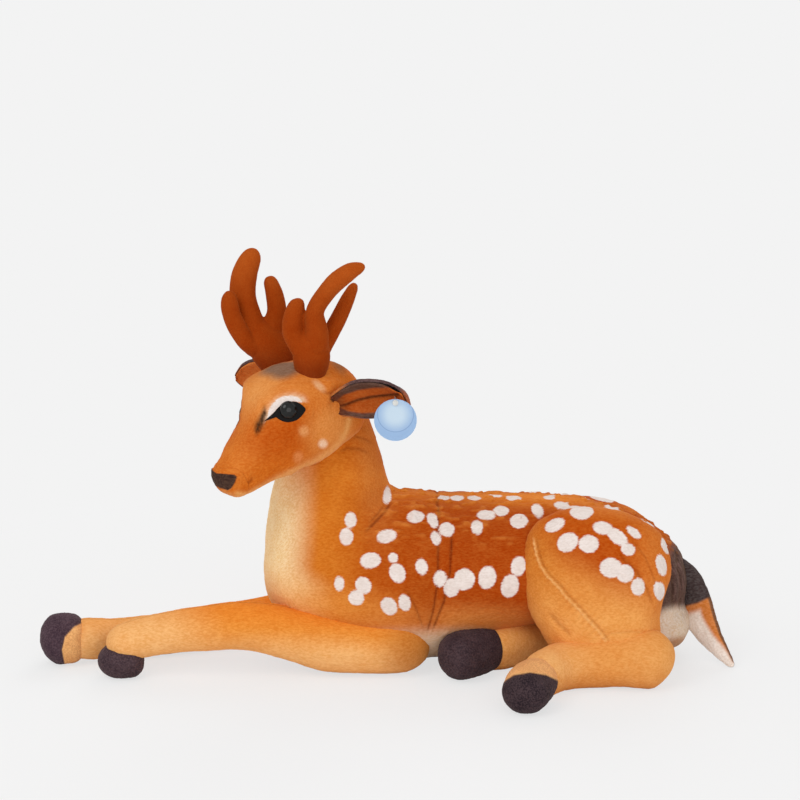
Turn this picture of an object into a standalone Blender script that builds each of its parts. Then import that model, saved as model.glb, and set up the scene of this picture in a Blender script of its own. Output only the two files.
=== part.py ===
import math

import bmesh
import bpy
import numpy as np
from mathutils import Matrix, Vector
from mathutils.bvhtree import BVHTree

# A lying plush deer in metres. It looks towards -X, its left side faces -Y, and it lies on Z = 0.

# Torso, a barrel that lies on its chest
TORSO_LENGTH = 0.460
TORSO_WIDTH = 0.186
TORSO_HEIGHT = 0.185

# Neck, upright on the front of the torso
NECK_HEIGHT = 0.185
NECK_DEPTH = 0.148
NECK_WIDTH = 0.132

# Head, turned to the left
HEAD_LENGTH = 0.176
HEAD_WIDTH = 0.100
HEAD_HEIGHT = 0.100
HEAD_YAW = math.radians(36)
NOSE_LENGTH = 0.011
PATCH_THICKNESS = 0.0012

# Safety eyes with a stem and a washer behind the cloth
EYE_DIAMETER = 0.019
EYE_HEIGHT = 0.0065
EYE_PATCH_LENGTH = 0.030
EYE_PATCH_HEIGHT = 0.020
STEM_DIAMETER = 0.005
STEM_LENGTH = 0.014
WASHER_DIAMETER = 0.016
WASHER_THICKNESS = 0.002
WASHER_DEPTH = 0.0075

# Ears, a curled leaf of plush with a lining
EAR_LENGTH = 0.088
EAR_WIDTH = 0.046
EAR_CLOTH = 0.003
LINING_CLOTH = 0.002
EAR_CURL = math.radians(55)

# Antlers, flat stuffed felt with three tines each
ANTLER_HEIGHT = 0.128
ANTLER_BREADTH = 0.040
ANTLER_THICKNESS = 0.028
FELT_WALL = 0.002

# Legs
FRONT_LEG_LENGTH = 0.360
FRONT_LEG_THICKNESS = 0.066
THIGH_HEIGHT = 0.184
THIGH_DEPTH = 0.158
THIGH_THICKNESS = 0.076
SHANK_LENGTH = 0.205
SHANK_THICKNESS = 0.060

# Tail
TAIL_LENGTH = 0.116
TAIL_WIDTH = 0.040
TAIL_THICKNESS = 0.026

# Hang tag on the left ear
TAG_DIAMETER = 0.044
TAG_THICKNESS = 0.0012
TAG_HOLE_DIAMETER = 0.0032
TAG_HOLE_INSET = 0.0036
TAG_PLAY = 0.0006
PIN_DIAMETER = 0.0018
PIN_HEAD_DIAMETER = 0.006
PIN_HEAD_THICKNESS = 0.0012

# Cloth, filling and clearances
SKIN_WALL = 0.003
FILLING_FIT = 0.0005
SEAM_GAP = 0.0004
TURNING_GAP = 0.0008
PIN_GAP = 0.0003
FLOOR_CUT = 0.0005
OVERRUN = 0.02

# How far each joint goes, in degrees
NECK_NOD = (-5, 5)
HEAD_TURN = (-12, 12)
EAR_FOLD = (-12, 12)
ANTLER_BEND = (-5, 5)
FRONT_LEG_SWING = (0, 12)
LEFT_SHANK_SWING = (0, 12)
RIGHT_SHANK_SWING = (0, 8)
TAIL_LIFT = (0, 24)

# Where the pieces sit, from the sizes above
TORSO_FRONT_SHARE = 0.304
TORSO_FRONT = -TORSO_FRONT_SHARE * TORSO_LENGTH
NECK_FOOT = Vector((TORSO_FRONT + NECK_DEPTH / 2, 0, TORSO_HEIGHT * 0.65))
NECK_PIVOT = NECK_FOOT + Vector((0, 0, NECK_HEIGHT * 0.22))
HEAD_PIVOT = NECK_FOOT + Vector((NECK_DEPTH * 0.04, -NECK_WIDTH * 0.06, NECK_HEIGHT * 0.92))
LEFT_ELBOW = Vector((TORSO_LENGTH * 0.09, -TORSO_WIDTH * 0.323, -FLOOR_CUT))
RIGHT_ELBOW = Vector((TORSO_LENGTH * 0.011, TORSO_WIDTH * 0.312, -FLOOR_CUT))
LEFT_HIP = Vector((TORSO_LENGTH * 0.482, -TORSO_WIDTH * 0.323, THIGH_HEIGHT - FLOOR_CUT))
RIGHT_HIP = Vector((TORSO_LENGTH * 0.482, TORSO_WIDTH * 0.323, THIGH_HEIGHT - FLOOR_CUT))
LEFT_HOCK = Vector((TORSO_LENGTH * 0.65, -TORSO_WIDTH * 0.57, -FLOOR_CUT))
RIGHT_HOCK = Vector((TORSO_LENGTH * 0.563, TORSO_WIDTH * 0.28, -FLOOR_CUT))
TAIL_ROOT = Vector((TORSO_LENGTH * 0.675, 0, TORSO_HEIGHT * 0.51))

# Along the torso from the chest: share of its length, then its middle's height and half height as
# shares of its height, and half its width as a share of its width
TORSO_SHARES = (
    (0.000, 0.530, 0.290, 0.350),
    (0.100, 0.530, 0.385, 0.420),
    (0.205, 0.510, 0.475, 0.473),
    (0.310, 0.500, 0.500, 0.495),
    (0.390, 0.500, 0.500, 0.500),
    (0.500, 0.550, 0.437, 0.500),
    (0.600, 0.587, 0.393, 0.495),
    (0.745, 0.585, 0.362, 0.484),
    (0.850, 0.520, 0.335, 0.452),
    (0.930, 0.420, 0.290, 0.376),
    (1.000, 0.350, 0.220, 0.260),
)

# Up the neck: share of its height, shift back and to the right, half its depth and half its width
NECK_SHARES = (
    (0.000, 0.000, 0.000, 0.500, 0.500),
    (0.215, 0.000, 0.000, 0.473, 0.470),
    (0.430, 0.014, 0.000, 0.420, 0.380),
    (0.605, 0.034, -0.015, 0.338, 0.300),
    (0.770, 0.040, -0.030, 0.257, 0.250),
    (0.890, 0.014, -0.068, 0.182, 0.210),
    (1.000, 0.000, -0.083, 0.120, 0.150),
)

# Along the head from the back of the skull: forward, rise, half width, half height
HEAD_SHARES = (
    (-0.136, 0.060, 0.340, 0.330),
    (0.010, -0.010, 0.430, 0.450),
    (0.170, -0.050, 0.480, 0.500),
    (0.320, -0.100, 0.470, 0.510),
    (0.430, -0.220, 0.430, 0.450),
    (0.510, -0.360, 0.355, 0.350),
    (0.605, -0.510, 0.275, 0.260),
    (0.700, -0.640, 0.215, 0.200),
    (0.785, -0.720, 0.175, 0.155),
    (0.840, -0.760, 0.135, 0.115),
)
EYE_SHARES = (0.477, 0.04)

# Along each front leg from the elbow: forward, outward, rise, half width, half height
LEFT_LEG_SHARES = (
    (0.000, 0.000, 0.420, 0.400, 0.400),
    (0.083, 0.000, 0.485, 0.500, 0.485),
    (0.186, 0.000, 0.500, 0.545, 0.500),
    (0.297, 0.006, 0.545, 0.530, 0.500),
    (0.408, 0.017, 0.680, 0.455, 0.440),
    (0.528, 0.028, 0.833, 0.394, 0.394),
    (0.672, 0.033, 0.800, 0.364, 0.364),
    (0.783, 0.036, 0.727, 0.333, 0.333),
    (0.861, 0.039, 0.645, 0.318, 0.318),
    (0.917, 0.042, 0.565, 0.290, 0.290),
    (0.956, 0.044, 0.480, 0.220, 0.230),
)
LEFT_FRONT_HOOF_SHARES = (
    (0.850, 0.039, 0.300, 0.270, 0.270),
    (0.889, 0.042, 0.290, 0.333, 0.290),
    (0.930, 0.044, 0.285, 0.345, 0.285),
    (0.985, 0.047, 0.275, 0.270, 0.235),
)
RIGHT_LEG_SHARES = (
    (0.000, 0.000, 0.420, 0.400, 0.400),
    (0.097, 0.006, 0.500, 0.515, 0.500),
    (0.222, -0.006, 0.485, 0.470, 0.470),
    (0.375, -0.050, 0.430, 0.400, 0.400),
    (0.542, -0.108, 0.390, 0.350, 0.360),
    (0.708, -0.170, 0.360, 0.330, 0.340),
    (0.847, -0.214, 0.370, 0.320, 0.326),
    (0.944, -0.239, 0.400, 0.318, 0.333),
    (1.000, -0.250, 0.410, 0.260, 0.270),
)
RIGHT_FRONT_HOOF_SHARES = (
    (0.940, -0.239, 0.424, 0.330, 0.360),
    (0.980, -0.246, 0.424, 0.394, 0.410),
    (1.019, -0.252, 0.424, 0.400, 0.424),
    (1.075, -0.258, 0.400, 0.330, 0.340),
)

# Down each thigh from the hip: back, outward, drop, half thickness, half depth
THIGH_SHARES = (
    (0.000, 0.000, 0.000, 0.260, 0.290),
    (-0.013, 0.132, 0.117, 0.400, 0.430),
    (-0.025, 0.237, 0.303, 0.474, 0.500),
    (-0.019, 0.276, 0.490, 0.500, 0.481),
    (0.025, 0.290, 0.676, 0.500, 0.405),
    (0.090, 0.290, 0.846, 0.460, 0.342),
    (0.115, 0.290, 1.000, 0.395, 0.291),
)

# The right thigh is pressed lower, as the toy leans on it
RIGHT_THIGH_DROP_SHARE = 0.16

# Along each shank from the hock: forward, outward, rise, half width, half height
LEFT_SHANK_SHARES = (
    (0.000, 0.000, 0.450, 0.370, 0.370),
    (0.090, 0.000, 0.500, 0.480, 0.500),
    (0.270, 0.000, 0.495, 0.480, 0.495),
    (0.450, 0.000, 0.450, 0.440, 0.450),
    (0.590, 0.045, 0.410, 0.400, 0.410),
    (0.685, 0.150, 0.400, 0.390, 0.400),
    (0.735, 0.250, 0.390, 0.310, 0.320),
)
LEFT_HIND_HOOF_SHARES = (
    (0.700, 0.160, 0.390, 0.360, 0.360),
    (0.745, 0.260, 0.390, 0.420, 0.390),
    (0.780, 0.360, 0.375, 0.420, 0.375),
    (0.810, 0.480, 0.330, 0.340, 0.320),
)
RIGHT_SHANK_SHARES = (
    (0.000, 0.000, 0.400, 0.300, 0.300),
    (0.107, -0.068, 0.400, 0.383, 0.400),
    (0.327, -0.215, 0.408, 0.392, 0.408),
    (0.546, -0.376, 0.408, 0.392, 0.408),
    (0.732, -0.517, 0.417, 0.392, 0.417),
    (0.800, -0.576, 0.417, 0.317, 0.333),
)
RIGHT_HIND_HOOF_SHARES = (
    (0.722, -0.507, 0.430, 0.367, 0.383),
    (0.800, -0.576, 0.440, 0.417, 0.440),
    (0.878, -0.644, 0.440, 0.433, 0.440),
    (0.980, -0.732, 0.433, 0.400, 0.400),
)

# Along the tail from the rump: back, to the left, rise, half width, half thickness
TAIL_SHARES = (
    (-0.060, 0.000, 0.060, 0.400, 0.400),
    (0.080, 0.040, -0.060, 0.480, 0.480),
    (0.180, 0.110, -0.270, 0.500, 0.450),
    (0.270, 0.210, -0.470, 0.420, 0.350),
    (0.400, 0.330, -0.660, 0.250, 0.230),
    (0.520, 0.430, -0.800, 0.100, 0.120),
)
TAIL_FACE_SHARES = (0.35, 0.90, 0.10)

# Each antler from its foot: back, to the right and up as shares of its height, then half its breadth
# and half its thickness. The trunk comes first, then the front, main and back tines.
LEFT_ANTLER_SHARES = (
    ((0.008, 0.000, -0.110, 0.475, 0.500), (0.000, -0.017, 0.067, 0.500, 0.520),
     (0.008, -0.042, 0.233, 0.500, 0.500), (0.000, -0.067, 0.375, 0.400, 0.430),
     (0.017, -0.075, 0.458, 0.250, 0.290)),
    ((-0.017, -0.050, 0.183, 0.250, 0.320), (-0.117, -0.067, 0.317, 0.250, 0.320),
     (-0.175, -0.075, 0.433, 0.237, 0.320), (-0.167, -0.083, 0.567, 0.237, 0.320),
     (-0.108, -0.083, 0.667, 0.190, 0.260), (-0.058, -0.083, 0.700, 0.130, 0.190)),
    ((0.025, -0.067, 0.250, 0.325, 0.430), (0.042, -0.100, 0.433, 0.300, 0.390),
     (0.075, -0.133, 0.583, 0.300, 0.390), (0.167, -0.167, 0.742, 0.287, 0.375),
     (0.300, -0.200, 0.883, 0.237, 0.320), (0.450, -0.217, 0.975, 0.125, 0.180)),
    ((0.067, -0.017, 0.200, 0.225, 0.320), (0.142, 0.017, 0.350, 0.225, 0.290),
     (0.225, 0.033, 0.500, 0.212, 0.290), (0.308, 0.042, 0.667, 0.190, 0.250),
     (0.375, 0.042, 0.817, 0.125, 0.180)),
)
RIGHT_ANTLER_SHARES = (
    ((0.017, 0.000, -0.110, 0.425, 0.500), (-0.017, 0.017, 0.050, 0.450, 0.500),
     (-0.100, 0.033, 0.183, 0.475, 0.460), (-0.167, 0.050, 0.300, 0.425, 0.430),
     (-0.200, 0.058, 0.400, 0.250, 0.290)),
    ((-0.150, 0.042, 0.150, 0.225, 0.320), (-0.283, 0.042, 0.283, 0.237, 0.320),
     (-0.375, 0.033, 0.417, 0.225, 0.300), (-0.433, 0.033, 0.533, 0.212, 0.290),
     (-0.425, 0.033, 0.633, 0.150, 0.210)),
    ((-0.150, 0.050, 0.250, 0.300, 0.390), (-0.225, 0.083, 0.433, 0.287, 0.375),
     (-0.267, 0.108, 0.617, 0.275, 0.360), (-0.250, 0.133, 0.817, 0.275, 0.360),
     (-0.192, 0.150, 0.992, 0.200, 0.280)),
    ((-0.083, 0.067, 0.233, 0.250, 0.320), (-0.050, 0.100, 0.350, 0.237, 0.320),
     (-0.017, 0.117, 0.483, 0.212, 0.290), (-0.033, 0.133, 0.617, 0.187, 0.250),
     (-0.083, 0.142, 0.750, 0.125, 0.180)),
)
LEFT_ANTLER_FOOT_SHARES = (0.250, 0.200, 0.280)
RIGHT_ANTLER_FOOT_SHARES = (0.290, -0.340, 0.300)

# Ears: where the root sits on the head (forward, left, up) and which way the leaf and its mouth point
LEFT_EAR_FOOT_SHARES = (0.164, 0.442, 0.061)
RIGHT_EAR_FOOT_SHARES = (0.168, -0.354, 0.091)
LEFT_EAR_WAY_SHARES = (0.90, -0.42, 0.13)
RIGHT_EAR_WAY_SHARES = (-0.68, 0.74, 0.01)
LEFT_EAR_MOUTH_SHARES = (-0.30, -0.85, -0.42)
RIGHT_EAR_MOUTH_SHARES = (-0.80, -0.55, -0.20)
EAR_OUTLINE_SHARES = (0.50, 0.78, 0.97, 1.00, 0.90, 0.62, 0.20)
TAG_PLACE_SHARES = (0.708, 0.23)
LINING_SHARE = 0.93

# How finely the forms are drawn
TORSO_SIDES = 20
HEAD_SIDES = 16
LIMB_SIDES = 16
HOOF_SIDES = 12
INNER_SIDES = 10
LIMB_INNER_SIDES = 8
TINE_SIDES = 8
TINE_RINGS = 4
TINE_INNER_SIDES = 6
TINE_INNER_RINGS = 3
SMALL_SIDES = 14
TAG_SIDES = 28
END_BLUNTNESS = 2.4

COLOURS = {
    "coat": ((0.578, 0.142, 0.013), 0.9, 0.0),
    "coat_pale": ((0.75, 0.33, 0.10), 0.9, 0.0),
    "filling": ((0.85, 0.85, 0.83), 0.95, 0.0),
    "hoof": ((0.075, 0.058, 0.060), 0.9, 0.0),
    "felt": ((0.38, 0.085, 0.010), 0.95, 0.0),
    "lining": ((0.31, 0.048, 0.007), 0.9, 0.0),
    "ear_back": ((0.10, 0.075, 0.08), 0.9, 0.0),
    "dark": ((0.03, 0.025, 0.025), 0.8, 0.0),
    "eye": ((0.004, 0.004, 0.005), 0.08, 0.0),
    "washer": ((0.80, 0.80, 0.80), 0.5, 0.0),
    "white": ((0.80, 0.76, 0.70), 0.9, 0.0),
    "card": ((0.36, 0.58, 0.85), 0.45, 0.0),
    "nylon": ((0.85, 0.85, 0.85), 0.35, 0.0),
}

pieces = {}
cutters = {}


def clear_scene():
    for thing in list(bpy.data.objects):
        bpy.data.objects.remove(thing, do_unlink=True)


def material(slot):
    if slot in bpy.data.materials:
        return bpy.data.materials[slot]
    colour, roughness, metallic = COLOURS[slot]
    made = bpy.data.materials.new(slot)
    made.use_nodes = True
    shader = made.node_tree.nodes["Principled BSDF"]
    shader.inputs["Base Color"].default_value = (*colour, 1)
    shader.inputs["Roughness"].default_value = roughness
    shader.inputs["Metallic"].default_value = metallic
    made.diffuse_color = (*colour, 1)
    return made


def pivot(name, place, parent=None):
    empty = bpy.data.objects.new(name, None)
    empty.empty_display_size = SKIN_WALL
    bpy.context.scene.collection.objects.link(empty)
    empty.parent = parent
    empty.location = place - (world_place(parent) if parent else Vector())
    return empty


def world_place(empty):
    place = Vector()
    while empty:
        place += empty.location
        empty = empty.parent
    return place


# A closed mesh from points in the toy's frame, kept in the frame of its pivot. Its quads are split
# along the same diagonals each time, so a cloth and the form grown from it stay parallel.
def closed_mesh(name, points, faces, holder):
    mesh = bpy.data.meshes.new(name)
    mesh.from_pydata([Vector(p) - world_place(holder) for p in points], [], faces)
    shaped = bmesh.new()
    shaped.from_mesh(mesh)
    bmesh.ops.triangulate(shaped, faces=shaped.faces, quad_method="FIXED")
    bmesh.ops.recalc_face_normals(shaped, faces=shaped.faces)
    shaped.to_mesh(mesh)
    shaped.free()
    mesh.shade_smooth()
    return mesh


def add_object(name, mesh, holder):
    thing = bpy.data.objects.new(name, mesh)
    bpy.context.scene.collection.objects.link(thing)
    thing.parent = holder
    return thing


def add_piece(name, mesh, holder, slot):
    piece = add_object(name, mesh, holder)
    mesh.materials.append(material(slot))
    pieces[name] = piece
    return piece


def add_cutter(name, mesh, holder):
    cutter = add_object(name, mesh, holder)
    cutter.hide_render = True
    cutter.display_type = "WIRE"
    cutters[name] = cutter
    return cutter


def boolean(piece, operation, other, solver="EXACT"):
    step = piece.modifiers.new(operation.title(), "BOOLEAN")
    step.operation = operation
    step.solver = solver
    step.object = other


def cut(piece, *others):
    for other in others:
        boolean(piece, "DIFFERENCE", other)


# Turned copies of one neighbour graze each other, which the exact solver leaves open
def cut_grazing(piece, others):
    for other in others:
        boolean(piece, "DIFFERENCE", other, "MANIFOLD")


def join(piece, *others):
    for other in others:
        boolean(piece, "UNION", other)


# A smooth curve through the rows of a table, read at shares of its length
def read_rows(rows, shares):
    steps = np.linalg.norm(np.diff(rows[:, :3], axis=0), axis=1)
    knots = np.concatenate(([0.0], np.cumsum(steps)))
    slopes = np.gradient(rows, knots, axis=0)
    at = np.clip(shares, 0, 1) * knots[-1]
    low = np.clip(np.searchsorted(knots, at, side="right") - 1, 0, len(knots) - 2)
    span = (knots[low + 1] - knots[low])[:, None]
    t = (at - knots[low])[:, None] / span
    return (
        (1 + 2 * t) * (1 - t) ** 2 * rows[low]
        + t * (1 - t) ** 2 * span * slopes[low]
        + t**2 * (3 - 2 * t) * rows[low + 1]
        + t**2 * (t - 1) * span * slopes[low + 1]
    )


# A swelling and tapering body round a curved middle line, closed by round ends.
# rows holds x, y, z, half the width across and half the width along upward.
def swollen(rows, sides, rings, ends, upward, grow=0.0, squareness=2.0, arc=None, lift=0.0):
    rows = np.array(rows, float)
    length = np.linalg.norm(np.diff(rows[:, :3], axis=0), axis=1).sum()
    first, last = ends[0] / length, 1 - ends[1] / length
    turn = np.linspace(0, math.pi / 2, 4)[1:-1]
    opening = first * (1 - np.cos(turn))
    closing = 1 - (1 - last) * (1 - np.cos(turn))
    at = np.concatenate((opening, np.linspace(first, last, rings), closing[::-1]))
    from_start = np.clip(1 - at / first, 0, 1)
    from_end = np.clip(1 - (1 - at) / (1 - last), 0, 1)
    fullness = (1 - np.maximum(from_start, from_end) ** END_BLUNTNESS) ** (1 / END_BLUNTNESS)
    along = read_rows(rows, at)
    along[:, 3:5] += grow
    start_way = -direction(rows[1, :3] - rows[0, :3])
    end_way = direction(rows[-1, :3] - rows[-2, :3])
    centres = along[:, :3] + grow * (np.outer(from_start, start_way) + np.outer(from_end, end_way))
    tangents = np.gradient(centres, axis=0)
    tangents /= np.linalg.norm(tangents, axis=1)[:, None]
    across = np.cross(tangents, np.array(upward, float))
    across /= np.linalg.norm(across, axis=1)[:, None]
    outward = np.cross(across, tangents)
    angle = np.arange(sides) * 2 * math.pi / sides if arc is None else np.linspace(*arc, sides)
    cosine, sine = np.cos(angle), np.sin(angle)
    round_x = np.sign(cosine) * np.abs(cosine) ** (2 / squareness)
    round_y = np.sign(sine) * np.abs(sine) ** (2 / squareness)
    points = (
        centres[:, None]
        + lift * outward[:, None]
        + (across * (along[:, 3] * fullness)[:, None])[:, None] * round_x[None, :, None]
        + (outward * (along[:, 4] * fullness)[:, None])[:, None] * round_y[None, :, None]
    )
    count = len(at)
    tips = rows[[0, -1], :3] + grow * np.array((start_way, end_way)) + lift * outward[[0, -1]]
    points = np.vstack((points.reshape(-1, 3), tips))
    faces = [
        (r * sides + s, r * sides + (s + 1) % sides, (r + 1) * sides + (s + 1) % sides, (r + 1) * sides + s)
        for r in range(count - 1)
        for s in range(sides)
    ]
    faces += [(count * sides, (s + 1) % sides, s) for s in range(sides)]
    base = (count - 1) * sides
    faces += [(count * sides + 1, base + s, base + (s + 1) % sides) for s in range(sides)]
    return points.tolist(), faces


def direction(vector):
    return vector / np.linalg.norm(vector)


# Copies of a cutter as a moving piece meets it while its joint turns
def passed_by(cutter, place, axis, limits, steps):
    copies = []
    for degrees in np.linspace(limits[0], limits[1], steps):
        turn = Matrix.Rotation(-math.radians(degrees), 4, axis)
        spot = world_place(cutter.parent)
        mesh = cutter.data.copy()
        mesh.transform(Matrix.Translation(-spot) @ Matrix.Translation(place) @ turn
                       @ Matrix.Translation(spot - place))
        copies.append(add_cutter(f"{cutter.name}_passed_{len(cutters)}", mesh, cutter.parent))
    return copies


# The cloth of a stuffed form, open where it is sewn on, and the filling inside it
def stuffed(name, shape, holder, slot, floor, neighbours, inner_sides, inner_rings):
    skin = add_piece(f"{name}_skin", closed_mesh(name, *shape(0.0), holder), holder, slot)
    hollow = closed_mesh(name, *shape(-SKIN_WALL, inner_sides, inner_rings), holder)
    inside = closed_mesh(name, *shape(-SKIN_WALL - FILLING_FIT, inner_sides, inner_rings), holder)
    filling = add_piece(f"{name}_filling", inside, holder, "filling")
    cut_grazing(skin, [floor, *neighbours, add_cutter(f"{name}_hollow", hollow, holder)])
    cut_grazing(filling, neighbours)
    return skin, filling


def grown(name, shape, holder, amount=SEAM_GAP):
    return add_cutter(f"{name}_grown", closed_mesh(name, *shape(amount), holder), holder)


def torso_rows():
    table = np.array(TORSO_SHARES)
    rows = np.zeros((len(table), 5))
    rows[:, 0] = TORSO_FRONT + table[:, 0] * TORSO_LENGTH
    rows[:, 2] = table[:, 1] * TORSO_HEIGHT - FLOOR_CUT
    rows[:, 3] = table[:, 3] * TORSO_WIDTH
    rows[:, 4] = table[:, 2] * TORSO_HEIGHT
    return rows


def torso_shape(grow, sides=TORSO_SIDES, rings=10):
    ends = (TORSO_LENGTH * 0.10, TORSO_LENGTH * 0.07)
    return swollen(torso_rows(), sides, rings, ends, (0, 0, 1), grow)


def neck_shape(grow, sides=HEAD_SIDES, rings=6):
    table = np.array(NECK_SHARES)
    rows = np.zeros((len(table), 5))
    rows[:, 0] = NECK_FOOT.x + table[:, 1] * NECK_DEPTH
    rows[:, 1] = table[:, 2] * NECK_WIDTH
    rows[:, 2] = NECK_FOOT.z + table[:, 0] * NECK_HEIGHT
    rows[:, 3] = table[:, 4] * NECK_WIDTH
    rows[:, 4] = table[:, 3] * NECK_DEPTH
    return swollen(rows, sides, rings, (NECK_HEIGHT * 0.05, NECK_HEIGHT * 0.06), (1, 0, 0), grow)


# A place on the head, from shares forward, to the left and up, in the toy's frame
def on_head(forward, left, up):
    ahead, aside = forward * HEAD_LENGTH, left * HEAD_WIDTH
    cosine, sine = math.cos(HEAD_YAW), math.sin(HEAD_YAW)
    return HEAD_PIVOT + Vector((-cosine * ahead + sine * aside, -sine * ahead - cosine * aside,
                                up * HEAD_HEIGHT))


def head_shape(grow, sides=HEAD_SIDES, rings=9):
    rows = [(*on_head(ahead, 0, up), wide * HEAD_WIDTH, tall * HEAD_HEIGHT)
            for ahead, up, wide, tall in HEAD_SHARES]
    ends = (HEAD_LENGTH * 0.14, HEAD_LENGTH * 0.07)
    return swollen(rows, sides, rings, ends, (0, 0, 1), grow, squareness=2.4)


def limb_rows(table, root, side, length, thickness, forward=-1):
    table = np.array(table)
    rows = np.zeros((len(table), 5))
    rows[:, 0] = root.x + forward * table[:, 0] * length
    rows[:, 1] = root.y + side * table[:, 1] * length
    rows[:, 2] = root.z + table[:, 2] * thickness
    rows[:, 3:5] = table[:, 3:5] * thickness
    return rows


def limb_shape(table, root, side, length, thickness, rings, ends_share):
    rows = limb_rows(table, root, side, length, thickness)
    ends = (thickness * ends_share[0], thickness * ends_share[1])

    def shape(grow, sides=LIMB_SIDES, ring_count=rings):
        return swollen(rows, sides, ring_count, ends, (0, 0, 1), grow)

    return shape


def thigh_shape(hip, side, drop_share):
    table = np.array(THIGH_SHARES)
    rows = np.zeros((len(table), 5))
    rows[:, 0] = hip.x + table[:, 0] * THIGH_DEPTH
    rows[:, 1] = hip.y + side * table[:, 1] * THIGH_THICKNESS
    rows[:, 2] = hip.z - (drop_share + (1 - drop_share) * table[:, 2]) * THIGH_HEIGHT
    rows[:, 3] = table[:, 3] * THIGH_THICKNESS
    rows[:, 4] = table[:, 4] * THIGH_DEPTH
    ends = (THIGH_HEIGHT * 0.14, THIGH_HEIGHT * 0.10)

    def shape(grow, sides=LIMB_SIDES, rings=6):
        return swollen(rows, sides, rings, ends, (1, 0, 0), grow)

    return shape


def tail_shape(sense, sides=8, rings=8):
    table = np.array(TAIL_SHARES)
    rows = np.zeros((len(table), 5))
    rows[:, 0] = TAIL_ROOT.x + table[:, 0] * TAIL_LENGTH
    rows[:, 1] = TAIL_ROOT.y - table[:, 1] * TAIL_LENGTH
    rows[:, 2] = TAIL_ROOT.z + table[:, 2] * TAIL_LENGTH
    rows[:, 3] = table[:, 3] * TAIL_WIDTH
    rows[:, 4] = table[:, 4] * TAIL_THICKNESS
    ends = (TAIL_LENGTH * 0.08, TAIL_LENGTH * 0.08)
    arc = (0, sense * math.pi)
    return swollen(rows, sides, rings, ends, TAIL_FACE_SHARES, arc=arc, lift=sense * PIN_GAP / 2)


def tine_shape(table, foot, sides, rings, grow):
    table = np.array(table)
    rows = np.zeros((len(table), 5))
    rows[:, :3] = np.array(foot) + table[:, :3] * ANTLER_HEIGHT
    rows[:, 3] = table[:, 4] * ANTLER_THICKNESS
    rows[:, 4] = table[:, 3] * ANTLER_BREADTH
    ends = (ANTLER_THICKNESS * 0.3, ANTLER_THICKNESS * 0.3)
    return swollen(rows, sides, rings, ends, (1, 0, 0), grow)


# A curled leaf between two radii, open towards its mouth
def leaf_shape(foot, way, mouth, inner_gap, outer_gap, reach):
    way = Vector(way).normalized()
    mouth = Vector(mouth)
    mouth = (mouth - mouth.project(way)).normalized()
    across = way.cross(mouth)
    outline = np.array(EAR_OUTLINE_SHARES) * EAR_WIDTH / 2
    shares = np.linspace(0, 1, len(outline))
    turns = np.linspace(-EAR_CURL, EAR_CURL, 7) * reach
    layers = []
    for gap in (inner_gap, outer_gap):
        layer = []
        for share, half in zip(shares, outline * reach):
            radius = half / math.sin(EAR_CURL) + gap
            middle = foot + way * (share * EAR_LENGTH * (1 if reach == 1 else reach))
            middle = middle + mouth * (outline[0] / math.sin(EAR_CURL))
            layer += [middle + across * (radius * math.sin(turn)) - mouth * (radius * math.cos(turn))
                      for turn in turns]
        layers.append(layer)
    rows, columns = len(outline), len(turns)
    size = rows * columns
    faces = []
    for r in range(rows - 1):
        for c in range(columns - 1):
            a = r * columns + c
            faces.append((a, a + 1, a + columns + 1, a + columns))
            faces.append(tuple(size + i for i in (a, a + columns, a + columns + 1, a + 1)))
    rim = [c for c in range(columns)] + [r * columns + columns - 1 for r in range(1, rows)]
    rim += [(rows - 1) * columns + c for c in range(columns - 2, -1, -1)]
    rim += [r * columns for r in range(rows - 2, 0, -1)]
    for a, b in zip(rim, rim[1:] + rim[:1]):
        faces.append((a, size + a, size + b, b))
    return [tuple(p) for p in layers[0] + layers[1]], faces


# A turned solid along an axis: pairs of place along it and radius, closed by flat ends
def turned(outline, start, axis, sides):
    axis = Vector(axis).normalized()
    first = axis.orthogonal().normalized()
    second = axis.cross(first)
    points, faces = [], []
    for along, radius in outline:
        for s in range(sides):
            angle = 2 * math.pi * s / sides
            spot = first * math.cos(angle) + second * math.sin(angle)
            points.append(tuple(start + axis * along + spot * radius))
    for r in range(len(outline) - 1):
        for s in range(sides):
            following = (s + 1) % sides
            faces.append((r * sides + s, r * sides + following,
                          (r + 1) * sides + following, (r + 1) * sides + s))
    faces.append(tuple(range(sides))[::-1])
    faces.append(tuple((len(outline) - 1) * sides + s for s in range(sides)))
    return points, faces


def box(centre, half):
    points = [tuple(centre + Vector((x * half.x, y * half.y, z * half.z)))
              for x in (-1, 1) for y in (-1, 1) for z in (-1, 1)]
    faces = [(0, 1, 3, 2), (4, 6, 7, 5), (0, 4, 5, 1), (2, 3, 7, 6), (0, 2, 6, 4), (1, 5, 7, 3)]
    return points, faces


def build_torso(root, floor):
    torso = grown("torso", torso_shape, root)
    skin, filling = stuffed("torso", torso_shape, root, "coat", floor, [], INNER_SIDES, 6)
    opening = closed_mesh("neck_opening", *neck_shape(-SKIN_WALL * 5, INNER_SIDES, 5), root)
    cut(skin, add_cutter("neck_opening", opening, root))
    return torso


def build_neck(neck, torso, head, floor):
    around = passed_by(torso, NECK_PIVOT, Vector((0, 1, 0)), NECK_NOD, 3)
    around += passed_by(head, HEAD_PIVOT, Vector((0, 0, -1)), HEAD_TURN, 3)
    stuffed("neck", neck_shape, neck, "coat", floor, around, INNER_SIDES, 4)


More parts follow.
